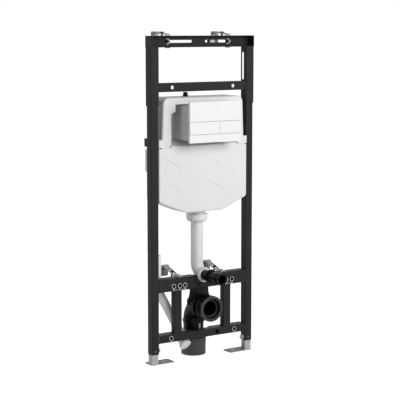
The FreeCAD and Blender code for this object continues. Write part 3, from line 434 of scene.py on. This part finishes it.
def hex_bolt(bm, at, axis, across, head, washer, washer_thick=1.6, shank=0.0, shank_reach=0.0):
    """A hexagon head on a washer, with a chamfered crown and an optional shank behind it."""
    soft, tip, crown_start, crown_width = 0.4, 0.5, 0.82, 0.84
    turned(bm, [(0, 0), (washer - soft, 0), (washer, soft), (washer, washer_thick - soft),
                (washer - soft, washer_thick), (0, washer_thick)], at, axis, steps=28)
    corner, top = across / math.sqrt(3), washer_thick + head
    turned(bm, [(0, washer_thick), (corner, washer_thick), (corner, washer_thick + head * crown_start),
                (corner * crown_width, top), (0, top)], at, axis, steps=6)
    if shank:
        turned(bm, [(0, -shank_reach), (shank - tip, -shank_reach), (shank, tip - shank_reach), (shank, 0),
                    (0, 0)], at, axis, steps=24)


def strip(bm, centres, radius, ripple=0.0):
    """A round bead through points in metres, rippling in thickness along its way and pinched at its ends."""
    step, sides, ripple_turn, pinched = 1.5, 10, 2.1, 0.55
    line = []
    for start, end in zip(centres, centres[1:]):
        count = max(1, round((end - start).length / (step * MM)))
        line += [start.lerp(end, i / count) for i in range(count)]
    line.append(centres[-1])
    last = len(line) - 1
    rings = []
    for i, centre in enumerate(line):
        turn = facing(line[min(i + 1, last)] - line[max(i - 1, 0)])
        thick = radius * MM * (1 + ripple * math.sin(ripple_turn * i))
        if i in (0, last):
            thick *= pinched
        rings.append([bm.verts.new(centre + turn @ Vector((math.cos(a) * thick, math.sin(a) * thick, 0)))
                      for a in circle(sides)])
    join_loops(bm, rings)


def ridge(bm, line, across, out, half, high, taper=3):
    """A low rounded ridge along points in metres, sunk a little into the face that carries it."""
    sunk, shoulder_at, shoulder = 0.8, 0.55, 0.72 * high
    shape = [(-1, -sunk), (-1, 0), (-shoulder_at, shoulder), (0, high), (shoulder_at, shoulder), (1, 0),
             (1, -sunk)]
    loops = []
    for i, point in enumerate(line):
        full = min(1, min(i, len(line) - 1 - i) / taper)
        loop = []
        for side, rise in shape:
            lift = rise * full if rise > 0 else rise
            loop.append(bm.verts.new(point + across * (side * half * MM) + out * (lift * MM)))
        loops.append(loop)
    join_loops(bm, loops)


def rounded_plate(bm, centre, along, up, width, height, thick, corner=3):
    """A plate with rounded corners and eased edges, grown from its centre towards along cross up."""
    steps, soft = 5, min(0.5, thick / 4)
    out = along.cross(up)
    outline = []
    for cx, cy, start in ((1, 1, 0), (-1, 1, 90), (-1, -1, 180), (1, -1, 270)):
        for i in range(steps + 1):
            angle = math.radians(start + 90 * i / steps)
            outline.append((cx * (width / 2 - corner) + corner * math.cos(angle),
                            cy * (height / 2 - corner) + corner * math.sin(angle)))
    layers = []
    for inset, depth in ((soft, 0), (0, soft), (0, thick - soft), (soft, thick)):
        wide, tall = along * (MM * (1 - 2 * inset / width)), up * (MM * (1 - 2 * inset / height))
        level = centre + out * (depth * MM)
        layers.append([bm.verts.new(level + wide * x + tall * y) for x, y in outline])
    join_loops(bm, layers)


def cut_plate(bm, outline, front, thick):
    """A plate cut to an outline of (across, height) pairs, from a depth backwards, in millimetres."""
    join_loops(bm, [[bm.verts.new(place(x, y, z)) for x, z in outline] for y in (front, front + thick)])


# Properties that a user would change
def colour_property(name, description, default):
    """A colour in linear values."""
    return FloatVectorProperty(name=name, description=description, subtype="COLOR", min=0, max=1,
                               default=default)


def length_property(name, description, millimetres):
    """A length, which the scene keeps in metres."""
    return FloatProperty(name=name, description=description, default=millimetres * MM, min=0, precision=4,
                         subtype="DISTANCE", unit="LENGTH")


def power_property(name, description, watts):
    """The power of a lamp."""
    return FloatProperty(name=name, description=description, default=watts, min=0, unit="POWER")


class FrameColours(PropertyGroup):
    """Colours of the finishes, in linear values"""
    frame_paint: colour_property("Frame", "Powder coat of the steel frame", (0.017, 0.0175, 0.0188))
    zinc: colour_property("Zinc", "Galvanised feet, brackets and sockets", (0.4, 0.41, 0.43))
    tank_plastic: colour_property("Tank", "Moulded cistern", (0.76, 0.76, 0.76))
    shaft_plastic: colour_property("Shaft", "Service shaft", (0.5, 0.5, 0.5))
    plate_plastic: colour_property("Plate", "Flush plate and buttons", (0.85, 0.85, 0.85))
    pipe_plastic: colour_property("Pipe", "Flush pipe and conduit", (0.74, 0.74, 0.73))
    black_plastic: colour_property("Drain", "Black drain mouldings", (0.005, 0.005, 0.005))
    adapter_plastic: colour_property("Adapter", "Drain adapter", (0.0095, 0.009, 0.0085))
    black_rubber: colour_property("Rubber", "Flush sleeve and drain seal", (0.005, 0.005, 0.005))


class FrameSizes(PropertyGroup):
    """Sizes of the small fittings"""
    bolt_across: length_property("Bolt", "Width across the flats of a bracket bolt", 13)
    weld_size: length_property("Weld", "Half thickness of a weld bead", 2.2)
    stud_flange: length_property("Stud rail flange", "Depth of the stud rail's back flange", 13)
    bottom_flange: length_property("Bottom rail flange", "Depth of the bottom rail's back flange", 16)
    # Painted highlight: the stud link is a thin light zinc strip standing in for an edge's highlight
    link_wire: length_property("Stud link", "Half thickness of a wire under the stud sockets", 0.9)
    crease_rise: length_property("Creases", "Height of the creases on the tank's front", 2)
    back_rib_rise: length_property("Back ribs", "Height of the ribs on the tank's back", 1.6)


class StudioSettings(PropertyGroup):
    """Light and camera"""
    sky: FloatProperty(name="Sky", description="Strength of the even studio light", default=0.27, min=0)
    key: power_property("Key", "Power of the high lamp in front", 60)
    side: power_property("Side", "Power of the far lamp on the left", 40)
    sheen: power_property("Sheen", "Power of the lamp on the right, which the upper rails reflect", 20)
    fill: power_property("Fill", "Power of the low lamp in front", 8)
    lens: FloatProperty(name="Lens", description="Focal length", default=116.5, min=10, unit="CAMERA")
    floor_tone: FloatProperty(name="Floor", description="Whiteness of the floor", default=0.8, min=0, max=1,
                              subtype="FACTOR")


# Operators, one for each piece or group of like pieces
class FRAME_OT_finishes(Operator):
    """Give every CAD piece its finish"""
    bl_idname = "toilet_frame.finishes"
    bl_label = "Finish the CAD pieces"

    def execute(self, context):
        for slot, names in SLOT_NODES.items():
            for name in names:
                tone = by_ending(SHADE_AND_LIGHT_TONES, name, 1.0)
                make = by_ending(OWN_FINISHES, name, FINISHES[slot])
                materials = NODES[name].data.materials
                materials.clear()
                materials.append(finish_for(slot, tone, make))
        return {"FINISHED"}


class FRAME_OT_rail_bolts(Operator):
    """Bolts in the top rail's keyholes and slot, and the clamp plate behind the slot"""
    bl_idname = "toilet_frame.rail_bolts"
    bl_label = "Rail bolts"

    def execute(self, context):
        across = context.scene.frame_sizes.bolt_across / MM
        keyhole_shift, slot_bolt, proud, clamp_shift, clamp_sheet = 4.5, 50, 2.6, 12, 2.5
        for name, _ in SIDES:
            keyhole = middle(f"{name}_high_bracket").x - keyhole_shift
            bm = bmesh.new()
            hex_bolt(bm, place(keyhole, TOP_RAIL_WEB, TOP_RAIL_HEIGHT), FORWARD, across, head=6.5, washer=8.4)
            add_piece(f"{name}_keyhole_bolt", bm, "frame_paint")
        bm = bmesh.new()
        hex_bolt(bm, place(slot_bolt, TOP_RAIL_WEB - proud, TOP_RAIL_HEIGHT), FORWARD, across=9.5, head=4,
                 washer=5.2, shank=4, shank_reach=proud)
        add_piece("slot_bolt", bm, "frame_paint")
        bm = bmesh.new()
        clamp = place(slot_bolt + clamp_shift, TOP_RAIL_WEB + clamp_sheet, TOP_RAIL_HEIGHT)
        rounded_plate(bm, clamp, RIGHT, UP, width=36, height=30, thick=clamp_sheet)
        add_piece("slot_clamp_plate", bm, "zinc")
        return {"FINISHED"}


class FRAME_OT_bracket_bolts(Operator):
    """Bolts that hold the brackets to the frame and to the wall"""
    bl_idname = "toilet_frame.bracket_bolts"
    bl_label = "Bracket bolts"

    def execute(self, context):
        across = context.scene.frame_sizes.bolt_across / MM
        bracket_sheet, rail_bolt_depth = 3, 19
        for name, side in SIDES:
            for level, (depth, height, slope) in SLOT_BOLTS.items():
                half, wall, hole_height = hole_pair(f"{level}_wall_bolts")
                x = side * half
                bm = bmesh.new()
                hex_bolt(bm, place(x, wall - bracket_sheet, hole_height), FORWARD, across, head=6, washer=10)
                add_piece(f"{name}_{level}_wall_bolt", bm, "zinc")
                bm = bmesh.new()
                hex_bolt(bm, place(x, depth, height), Vector((0, -slope, 1)), across, head=3.4, washer=9,
                         washer_thick=1.2, shank=4, shank_reach=22)
                add_piece(f"{name}_{level}_slot_bolt", bm, "frame_paint")
                if level == "low":
                    bm = bmesh.new()
                    at = place(x, rail_bolt_depth, STUD_RAIL_TOP + bracket_sheet)
                    hex_bolt(bm, at, UP, across, head=6, washer=9.5)
                    add_piece(f"{name}_rail_bolt", bm, "zinc")
        return {"FINISHED"}


class FRAME_OT_welds(Operator):
    """Weld beads where the rails and struts meet"""
    bl_idname = "toilet_frame.welds"
    bl_label = "Weld beads"

    def execute(self, context):
        bead = context.scene.frame_sizes.weld_size / MM
        rail_weld_end, strut_weld_end, strut_share = 28, 26, 0.9
        for rail in ("upper_rail", "stud_rail", "bottom_rail"):
            self.corner_beads(rail, rail_weld_end, bead)
        for name, _ in SIDES:
            self.corner_beads(f"{name}_strut", strut_weld_end, bead * strut_share)
        return {"FINISHED"}

    def corner_beads(self, node, end, radius):
        """Beads from front to back at the four corners of a rail or strut."""
        low, high = span(node)
        bm = bmesh.new()
        for x in (low.x, high.x):
            for z in (low.z, high.z):
                strip(bm, [place(x, WELD_FRONT, z), place(x, end, z)], radius, WELD_RIPPLE)
        add_piece(f"{node}_welds", bm, "frame_paint")


class FRAME_OT_rail_flanges(Operator):
    """Turned back edges of the stud and bottom rails, clear of the pipes behind them"""
    bl_idname = "toilet_frame.rail_flanges"
    bl_label = "Rail flanges"

    def execute(self, context):
        sizes = context.scene.frame_sizes
        sheet, below_top, overlap = 2, 0.3, 1
        for rail, depth, gap_start, gap_end in (("stud_rail", sizes.stud_flange / MM, -36, 36),
                                                ("bottom_rail", sizes.bottom_flange / MM, -110, 50)):
            back = span(rail)[1]
            bm = bmesh.new()
            for start, end in ((-POST_INSIDE, gap_start), (gap_end, POST_INSIDE)):
                at = place((start + end) / 2, back.y + (depth - overlap) / 2, back.z - below_top - sheet)
                rounded_plate(bm, at, RIGHT, BACKWARD, end - start, depth + overlap, sheet, corner=1)
            add_piece(f"{rail}_back_flange", bm, "frame_paint")
        return {"FINISHED"}


class FRAME_OT_socket_liners(Operator):
    """Threaded liners of the stud and anchor sockets, in black rubber as painted shade deep in the holes, and
    a black sheet in the square hole as painted shade of the rail's inside
    """
    bl_idname = "toilet_frame.socket_liners"
    bl_label = "Socket liners"

    def execute(self, context):
        bore, crest, pitch, turns, thread_start = 5.5, 5.1, 1.5, 12, 1.2
        outside, collar, end, floor = 5.9, 7.7, 21.5, 20.5
        square_hole, shade_sheet_depth = 78, 20
        profile = [(0, -end), (outside, -end), (outside, -0.4), (collar, -0.4), (collar, 0.1),
                   (collar - 0.3, 0.3), (6, 0.3), (5.4, -0.5)]
        for i in range(turns):
            start = -thread_start - pitch * i
            profile += [(bore, start), (crest, start - pitch / 2)]
        profile += [(crest, -floor), (0, -floor)]
        # Liners in black rubber: painted shade inside the socket holes, on real threaded form
        for name, side in SIDES:
            for group, holes in (("stud", STUD_HOLES), ("anchor", ANCHOR_HOLES)):
                bm = bmesh.new()
                for half, depth, height in holes:
                    turned(bm, profile, place(side * half, depth, height), FORWARD)
                add_piece(f"{name}_{group}_liners", bm, "black_rubber")
        # A black sheet set back in the square hole: painted shade where the rail's inside would show through
        bm = bmesh.new()
        at = place(square_hole, shade_sheet_depth, middle("bottom_rail").z)
        rounded_plate(bm, at, RIGHT, UP, width=46, height=27, thick=4.2, corner=1)
        add_piece("square_hole_plug", bm, "black_rubber")
        return {"FINISHED"}


class FRAME_OT_stud_links(Operator):
    """Thin light zinc strips that join the drops under the stud sockets, a painted highlight of the edge
    there
    """
    bl_idname = "toilet_frame.stud_links"
    bl_label = "Stud links"

    def execute(self, context):
        highlight_strip = context.scene.frame_sizes.link_wire / MM
        steps, depth, height, sag = 24, -0.7, 306.5, 3.5
        first, last = STUD_HOLES[0][0], STUD_HOLES[-1][0]
        for name, side in SIDES:
            points = []
            for i in range(steps + 1):
                t = i / steps
                x = side * (first + (last - first) * t)
                points.append(place(x, depth, height - sag * (1 - (2 * t - 1) ** 2)))
            # Painted highlight: a light zinc strip along the edge under the sockets
            bm = bmesh.new()
            strip(bm, points, highlight_strip)
            add_piece(f"{name}_stud_link", bm, "zinc")
        return {"FINISHED"}


def tank_front(x):
    """Depth of the tank's swelling front at a distance from mid-width, in millimetres."""
    return x * x / (2 * TANK_SWELL) + TANK_CROWN


def front_line(start, end, steps=20):
    """Points on the tank's front between two (across, height) pairs in millimetres."""
    line = []
    for i in range(steps + 1):
        x = start[0] + (end[0] - start[0]) * i / steps
        line.append(place(x, tank_front(x), start[1] + (end[1] - start[1]) * i / steps))
    return line


def back_line(start, end, steps=40):
    """Points on the tank's flat back between two (across, height) pairs in millimetres."""
    first, last = (place(x, TANK_BACK, z) for x, z in (start, end))
    return [first.lerp(last, i / steps) for i in range(steps + 1)]


def side_plates(bm, outer, depth, height, width, tall, thick, corner):
    """A pair of upright plates whose outer faces stand at one distance on each side of mid-width."""
    for x in (-outer, outer - thick):
        rounded_plate(bm, place(x, depth, height), BACKWARD, UP, width, tall, thick, corner)


class FRAME_OT_tank_creases(Operator):
    """Moulded creases on the tank's front"""
    bl_idname = "toilet_frame.tank_creases"
    bl_label = "Tank creases"

    def execute(self, context):
        rise = context.scene.frame_sizes.crease_rise / MM
        bm = bmesh.new()
        for start, end in CREASES:
            line = front_line(start, end)
            along = (line[-1] - line[0]).normalized()
            ridge(bm, line, along.cross(FORWARD).normalized(), FORWARD, half=1.7, high=rise)
        add_piece("tank_creases", bm, "tank_plastic")
        return {"FINISHED"}


class FRAME_OT_cover_ribs(Operator):
    """Short level ribs beside the tank cover's well"""
    bl_idname = "toilet_frame.cover_ribs"
    bl_label = "Cover ribs"

    def execute(self, context):
        inner, outer, heights = 163, 185, (1031, 995, 958, 922)
        bm = bmesh.new()
        for _, side in SIDES:
            for z in heights:
                line = front_line((side * inner, z), (side * outer, z), steps=10)
                ridge(bm, line, UP, FORWARD, half=1.2, high=1.7)
        add_piece("cover_ribs", bm, "tank_plastic")
        return {"FINISHED"}


class FRAME_OT_tank_seam(Operator):
    """Seam between the tank's halves, a low ridge in grey shaft plastic as painted shade of its gap, and
    black strips where it ends, painted shade of the notches there
    """
    bl_idname = "toilet_frame.tank_seam"
    bl_label = "Tank seam"

    def execute(self, context):
        seam_shade_lines = ((-214, -163), (163, 203))
        gap_shade_start, gap_shade_end = 204, 214.4
        # Grey ridge along the seam: painted shade of the gap between the halves
        bm = bmesh.new()
        for start, end in seam_shade_lines:
            line = front_line((start, TANK_SEAM), (end, TANK_SEAM), steps=12)
            ridge(bm, line, UP, FORWARD, half=0.7, high=0.35)
        add_piece("tank_seam", bm, "shaft_plastic")
        # Black strips at the seam's ends: painted shade of the notches there
        bm = bmesh.new()
        for _, side in SIDES:
            line = front_line((side * gap_shade_start, TANK_SEAM), (side * gap_shade_end, TANK_SEAM), steps=6)
            ridge(bm, line, UP, FORWARD, half=2.2, high=0.4, taper=1)
        add_piece("seam_gaskets", bm, "black_rubber")
        return {"FINISHED"}


class FRAME_OT_tank_ribs(Operator):
    """Ribs on the tank's back and sides"""
    bl_idname = "toilet_frame.tank_ribs"
    bl_label = "Tank ribs"

    def execute(self, context):
        rise = context.scene.frame_sizes.back_rib_rise / MM
        each_side, spacing, top, low_end, outer_low_end = 3, 50, 1070, 640, 672
        level_heights, half_length, half_width = (720, 800, 960, 1040), 170, 3
        bm = bmesh.new()
        for i in range(-each_side, each_side + 1):
            x = spacing * i
            low = outer_low_end if abs(i) == each_side else low_end
            ridge(bm, back_line((x, low), (x, top)), RIGHT, BACKWARD, half_width, rise)
        for z in level_heights:
            ridge(bm, back_line((-half_length, z), (half_length, z)), UP, BACKWARD, half_width, rise)
        add_piece("tank_back_ribs", bm, "tank_plastic")
        bm = bmesh.new()
        side_plates(bm, outer=216, depth=93, height=833, width=20, tall=91, thick=10, corner=6)
        add_piece("tank_side_ribs", bm, "tank_plastic")
        return {"FINISHED"}


class FRAME_OT_ear_clips(Operator):
    """Steel clips over the ears of the tank cover"""
    bl_idname = "toilet_frame.ear_clips"
    bl_label = "Ear clips"

    def execute(self, context):
        bm = bmesh.new()
        side_plates(bm, outer=216.2, depth=94, height=908, width=30, tall=34, thick=2, corner=2)
        add_piece("ear_clips", bm, "frame_paint")
        return {"FINISHED"}


class FRAME_OT_pipe_fittings(Operator):
    """Clip and screws that hold the flush pipe in the stud rail"""
    bl_idname = "toilet_frame.pipe_fittings"
    bl_label = "Flush pipe fittings"

    def execute(self, context):
        clip_middle, clip_bolt, clip_edge = 44, 47, 33
        length, width, leg, sheet = 26, 20, 16, 2
        screw_place, screw_height = 20, 316
        depth, top = STUD_RAIL_DEPTH, STUD_RAIL_TOP
        bm = bmesh.new()
        rounded_plate(bm, place(clip_middle, depth, top), RIGHT, BACKWARD, length, width, sheet)
        hex_bolt(bm, place(clip_bolt, depth, top + sheet), UP, across=8, head=4, washer=6)
        rounded_plate(bm, place(clip_edge, depth, top + leg / 2), BACKWARD, UP, width, leg, sheet)
        add_piece("pipe_clip", bm, "zinc")
        screw = [(0, 0), (4.2, 0), (4.2, 0.8), (3.4, 2.0), (1.6, 2.6), (1.2, 1.4), (0, 1.4)]
        for name, side in SIDES:
            bm = bmesh.new()
            turned(bm, screw, place(side * screw_place, 0, screw_height), FORWARD, steps=24)
            add_piece(f"{name}_notch_screw", bm, "black_plastic")
        return {"FINISHED"}


class FRAME_OT_bend_fittings(Operator):
    """Band, rings and lugs of the drain bend"""
    bl_idname = "toilet_frame.bend_fittings"
    bl_label = "Drain bend fittings"

    def execute(self, context):
        inside, soft, band_foot = 42.5, 0.8, 135
        lug_place, lug_depth, lug_height, lug_thick = 42, 70, 166, 5.5
        bm = bmesh.new()
        band = [(inside, 0), (43.6, 0.3), (43.9, 1), (43.9, 19), (43.6, 19.7), (inside, 20), (inside, 0)]
        turned(bm, band, place(0, DRAIN_DEPTH, band_foot), UP, steps=64)
        for front, radius, wide in DRAIN_RINGS:
            ring = [(inside, 0), (radius - soft, 0), (radius, soft), (radius, wide - soft),
                    (radius - soft, wide), (inside, wide), (inside, 0)]
            turned(bm, ring, place(0, front, DRAIN_HEIGHT), BACKWARD, steps=72)
        add_piece("bend_rings", bm, "black_plastic")
        bm = bmesh.new()
        for _, side in SIDES:
            at = place(side * lug_place, lug_depth, lug_height)
            rounded_plate(bm, at, BACKWARD, UP, width=12, height=10, thick=side * lug_thick, corner=2)
        add_piece("bend_lugs", bm, "black_plastic")
        return {"FINISHED"}


class FRAME_OT_drain_mouth(Operator):
    """Inner lip of the drain seal and rim of its socket"""
    bl_idname = "toilet_frame.drain_mouth"
    bl_label = "Drain mouth"

    def execute(self, context):
        lip_front = [(46.9, 1), (46.6, -1), (45.9, -1.4), (43.6, -1), (42.8, 0.4)]
        groove = [(42.6, 24), (41, 25.6), (38.6, 25.6), (37.2, 24)]
        inner_lip = [(36.8, 14.5), (35.6, 12), (33.8, 11.2), (32.1, 12.2), (31.7, 14.2)]
        lip_back = [(32.6, 27), (34, 28.4), (44.2, 28.4), (45.4, 27.2), (45.4, 1.6)]
        rim = [(47.2, 0.6), (47.2, -0.2), (47.8, -0.7), (53, -0.7), (54.1, 0.3), (54.1, 3), (53.5, 3),
               (53.2, 0.6)]
        lip = lip_front + groove + inner_lip + lip_back
        for name, node, profile in (("seal_front_lip", "drain_seal", lip),
                                    ("socket_rim", "drain_socket", rim)):
            bm = bmesh.new()
            at = place(0, span(node)[0].y, DRAIN_HEIGHT)
            turned(bm, profile + profile[:1], at, BACKWARD, steps=72)
            add_piece(name, bm, "adapter_plastic")
        return {"FINISHED"}


class FRAME_OT_hanger_cheeks(Operator):
    """Cheeks that flare from the drain hanger's neck to its feet beside the bend"""
    bl_idname = "toilet_frame.hanger_cheeks"
    bl_label = "Hanger cheeks"

    def execute(self, context):
        neck, spread, foot_top, rise, inner = 46, 13, 252, 40, 45.6
        front, thick = 30.2, 2.6
        turns = [math.radians(90 - 10 * i) for i in range(10)]
        flare = [(neck + spread * (1 - math.sin(turn)), foot_top + rise * (1 - math.cos(turn)))
                 for turn in turns]
        foot = [(59.8, 240), (59.2, 231), (57, 226.5), (53, 225), (46, 225), (44, 227)]
        beside_bend = [(42.8, 232), (40.8, 238.4), (inner, 242), (inner, foot_top + rise)]
        bm = bmesh.new()
        for _, side in SIDES:
            cut_plate(bm, [(side * x, z) for x, z in flare + foot + beside_bend], front, thick)
        add_piece("hanger_cheeks", bm, "frame_paint")
        return {"FINISHED"}


class FRAME_OT_foot_fittings(Operator):
    """Washers and nuts of the clamp bolts and welds round the foot tubes"""
    bl_idname = "toilet_frame.foot_fittings"
    bl_label = "Foot fittings"

    def execute(self, context):
        washer = [(4.2, 0), (11.6, 0), (12, 0.4), (12, 1.2), (11.6, 1.6), (4.2, 1.6), (4.2, 0)]
        tube_half, plate_top, bead, corner_gap = 15, 4, 1.6, 0.06
        for name, side in SIDES:
            inward = -side * RIGHT
            low, high = span(f"{name}_clamp_bolt")
            bolt = (low + high) / 2
            bm = bmesh.new()
            turned(bm, washer, place(side * POST_INSIDE, bolt.y, bolt.z), inward, steps=36)
            add_piece(f"{name}_clamp_washer", bm, "zinc")
            bm = bmesh.new()
            head_face = low.x if side > 0 else high.x
            hex_bolt(bm, place(head_face, bolt.y, bolt.z), inward, across=14, head=5, washer=9.6,
                     washer_thick=1.4)
            add_piece(f"{name}_clamp_nut", bm, "zinc")
            bm = bmesh.new()
            corners = [place(side * LEG.x + x * tube_half, LEG.y + y * tube_half, plate_top)
                       for x, y in ((-1, -1), (1, -1), (1, 1), (-1, 1))]
            for start, end in zip(corners, corners[1:] + corners[:1]):
                strip(bm, [start.lerp(end, corner_gap), start.lerp(end, 1 - corner_gap)], bead, WELD_RIPPLE)
            add_piece(f"{name}_foot_weld", bm, "zinc", f"{name}_foot")
        return {"FINISHED"}


class FRAME_OT_stage(Operator):
    """Make the floor, the studio light and the camera"""
    bl_idname = "toilet_frame.stage"
    bl_label = "Set the stage"

    def execute(self, context):
        studio = context.scene.frame_studio
        context.scene.view_settings.view_transform = "Standard"
        self.floor(context.scene, studio)
        self.sky(context.scene, studio)
        for name, (width, at) in LAMPS.items():
            self.lamp(context.scene, f"{name}_lamp", getattr(studio, name), width, place(*at))
        self.camera(context.scene, studio)
        return {"FINISHED"}

    def seen(self, nodes, links):
        """One where the camera, a reflection or a clear piece sees the surface."""
        path = nodes.new("ShaderNodeLightPath")
        total = path.outputs["Is Camera Ray"]
        for name in ("Is Glossy Ray", "Is Transmission Ray"):
            either = nodes.new("ShaderNodeMath")
            either.operation = "MAXIMUM"
            links.new(total, either.inputs[0])
            links.new(path.outputs[name], either.inputs[1])
            total = either.outputs[0]
        return total

    def floor(self, scene, studio):
        """A wide pale floor just under the feet, which glows where it is seen."""
        bm = bmesh.new()
        bmesh.ops.create_grid(bm, x_segments=8, y_segments=8, size=FLOOR_HALF)
        mesh = bpy.data.meshes.new("floor")
        bm.to_mesh(mesh)
        bm.free()
        floor = bpy.data.objects.new("floor", mesh)
        floor.location = (MID_X, FRONT_Y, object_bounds()[0].z - FLOOR_GAP)
        scene.collection.objects.link(floor)
        material = bpy.data.materials.new("pale_floor")
        material.use_nodes = True
        nodes, links = material.node_tree.nodes, material.node_tree.links
        shader = nodes["Principled BSDF"]
        shader.inputs["Base Color"].default_value = (*[studio.floor_tone] * 3, 1)
        shader.inputs["Roughness"].default_value = 0.9
        shader.inputs["Specular IOR Level"].default_value = 0.1
        shader.inputs["Emission Color"].default_value = (1, 1, 1, 1)
        glow = nodes.new("ShaderNodeMath")
        glow.operation = "MULTIPLY"
        glow.inputs[1].default_value = FLOOR_GLOW
        links.new(self.seen(nodes, links), glow.inputs[0])
        links.new(glow.outputs[0], shader.inputs["Emission Strength"])
        mesh.materials.append(material)
        floor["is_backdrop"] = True

    def sky(self, scene, studio):
        """An even light, white where it is seen."""
        world = bpy.data.worlds.new("white_studio")
        world.use_nodes = True
        scene.world = world
        nodes, links = world.node_tree.nodes, world.node_tree.links
        background = nodes["Background"]
        background.inputs["Color"].default_value = (1, 1, 1, 1)
        level = nodes.new("ShaderNodeMapRange")
        level.inputs["To Min"].default_value = studio.sky
        level.inputs["To Max"].default_value = 1
        links.new(self.seen(nodes, links), level.inputs["Value"])
        links.new(level.outputs["Result"], background.inputs["Strength"])

    def lamp(self, scene, name, power, width, at):
        """A round lamp that looks at the middle of the frame."""
        light = bpy.data.lights.new(name, "AREA")
        light.energy = power
        light.shape = "DISK"
        light.size = width
        lamp = bpy.data.objects.new(name, light)
        lamp.location = at
        lamp.rotation_mode = "QUATERNION"
        lamp.rotation_quaternion = (LAMP_AIM - at).to_track_quat("-Z", "Y")
        scene.collection.objects.link(lamp)

    def camera(self, scene, studio):
        """The camera that looks from the photograph's place."""
        data = bpy.data.cameras.new("photo_camera")
        data.sensor_width = 36
        data.lens = studio.lens
        data.clip_end = 200
        camera = bpy.data.objects.new("photo_camera", data)
        camera.location = CAMERA_PLACE
        camera.rotation_euler = (math.radians(90 - CAMERA_PITCH), 0, math.radians(CAMERA_YAW))
        scene.collection.objects.link(camera)
        scene.camera = camera


class FRAME_PT_panel(Panel):
    """Lists the settings and the steps that dress the frame"""
    bl_idname = "FRAME_PT_panel"
    bl_label = "Toilet frame"
    bl_space_type = "VIEW_3D"
    bl_region_type = "UI"
    bl_category = "Toilet frame"

    def draw(self, context):
        for name, group in GROUPS.items():
            for setting in group.__annotations__:
                self.layout.prop(getattr(context.scene, name), setting)
        for step in STEPS:
            self.layout.operator(step.bl_idname)


GROUPS = {"frame_colours": FrameColours, "frame_sizes": FrameSizes, "frame_studio": StudioSettings}
STEPS = (
    FRAME_OT_finishes, FRAME_OT_rail_bolts, FRAME_OT_bracket_bolts, FRAME_OT_welds, FRAME_OT_rail_flanges,
    FRAME_OT_socket_liners, FRAME_OT_stud_links, FRAME_OT_tank_creases, FRAME_OT_cover_ribs,
    FRAME_OT_tank_seam, FRAME_OT_tank_ribs, FRAME_OT_ear_clips, FRAME_OT_pipe_fittings,
    FRAME_OT_bend_fittings, FRAME_OT_drain_mouth, FRAME_OT_hanger_cheeks, FRAME_OT_foot_fittings,
    FRAME_OT_stage,
)


def register():
    """Makes the settings, the steps and the panel known."""
    for name, group in GROUPS.items():
        bpy.utils.register_class(group)
        setattr(bpy.types.Scene, name, PointerProperty(type=group))
    for step in (*STEPS, FRAME_PT_panel):
        bpy.utils.register_class(step)


def unregister():
    """Takes the panel, the steps and the settings away again."""
    for step in (FRAME_PT_panel, *reversed(STEPS)):
        bpy.utils.unregister_class(step)
    for name, group in GROUPS.items():
        delattr(bpy.types.Scene, name)
        bpy.utils.unregister_class(group)


def main():
    """Makes the settings, the steps and the panel known and runs the steps in order."""
    register()
    for step in STEPS:
        module, name = step.bl_idname.split(".")
        getattr(getattr(bpy.ops, module), name)()


if __name__ == "__main__":
    main()
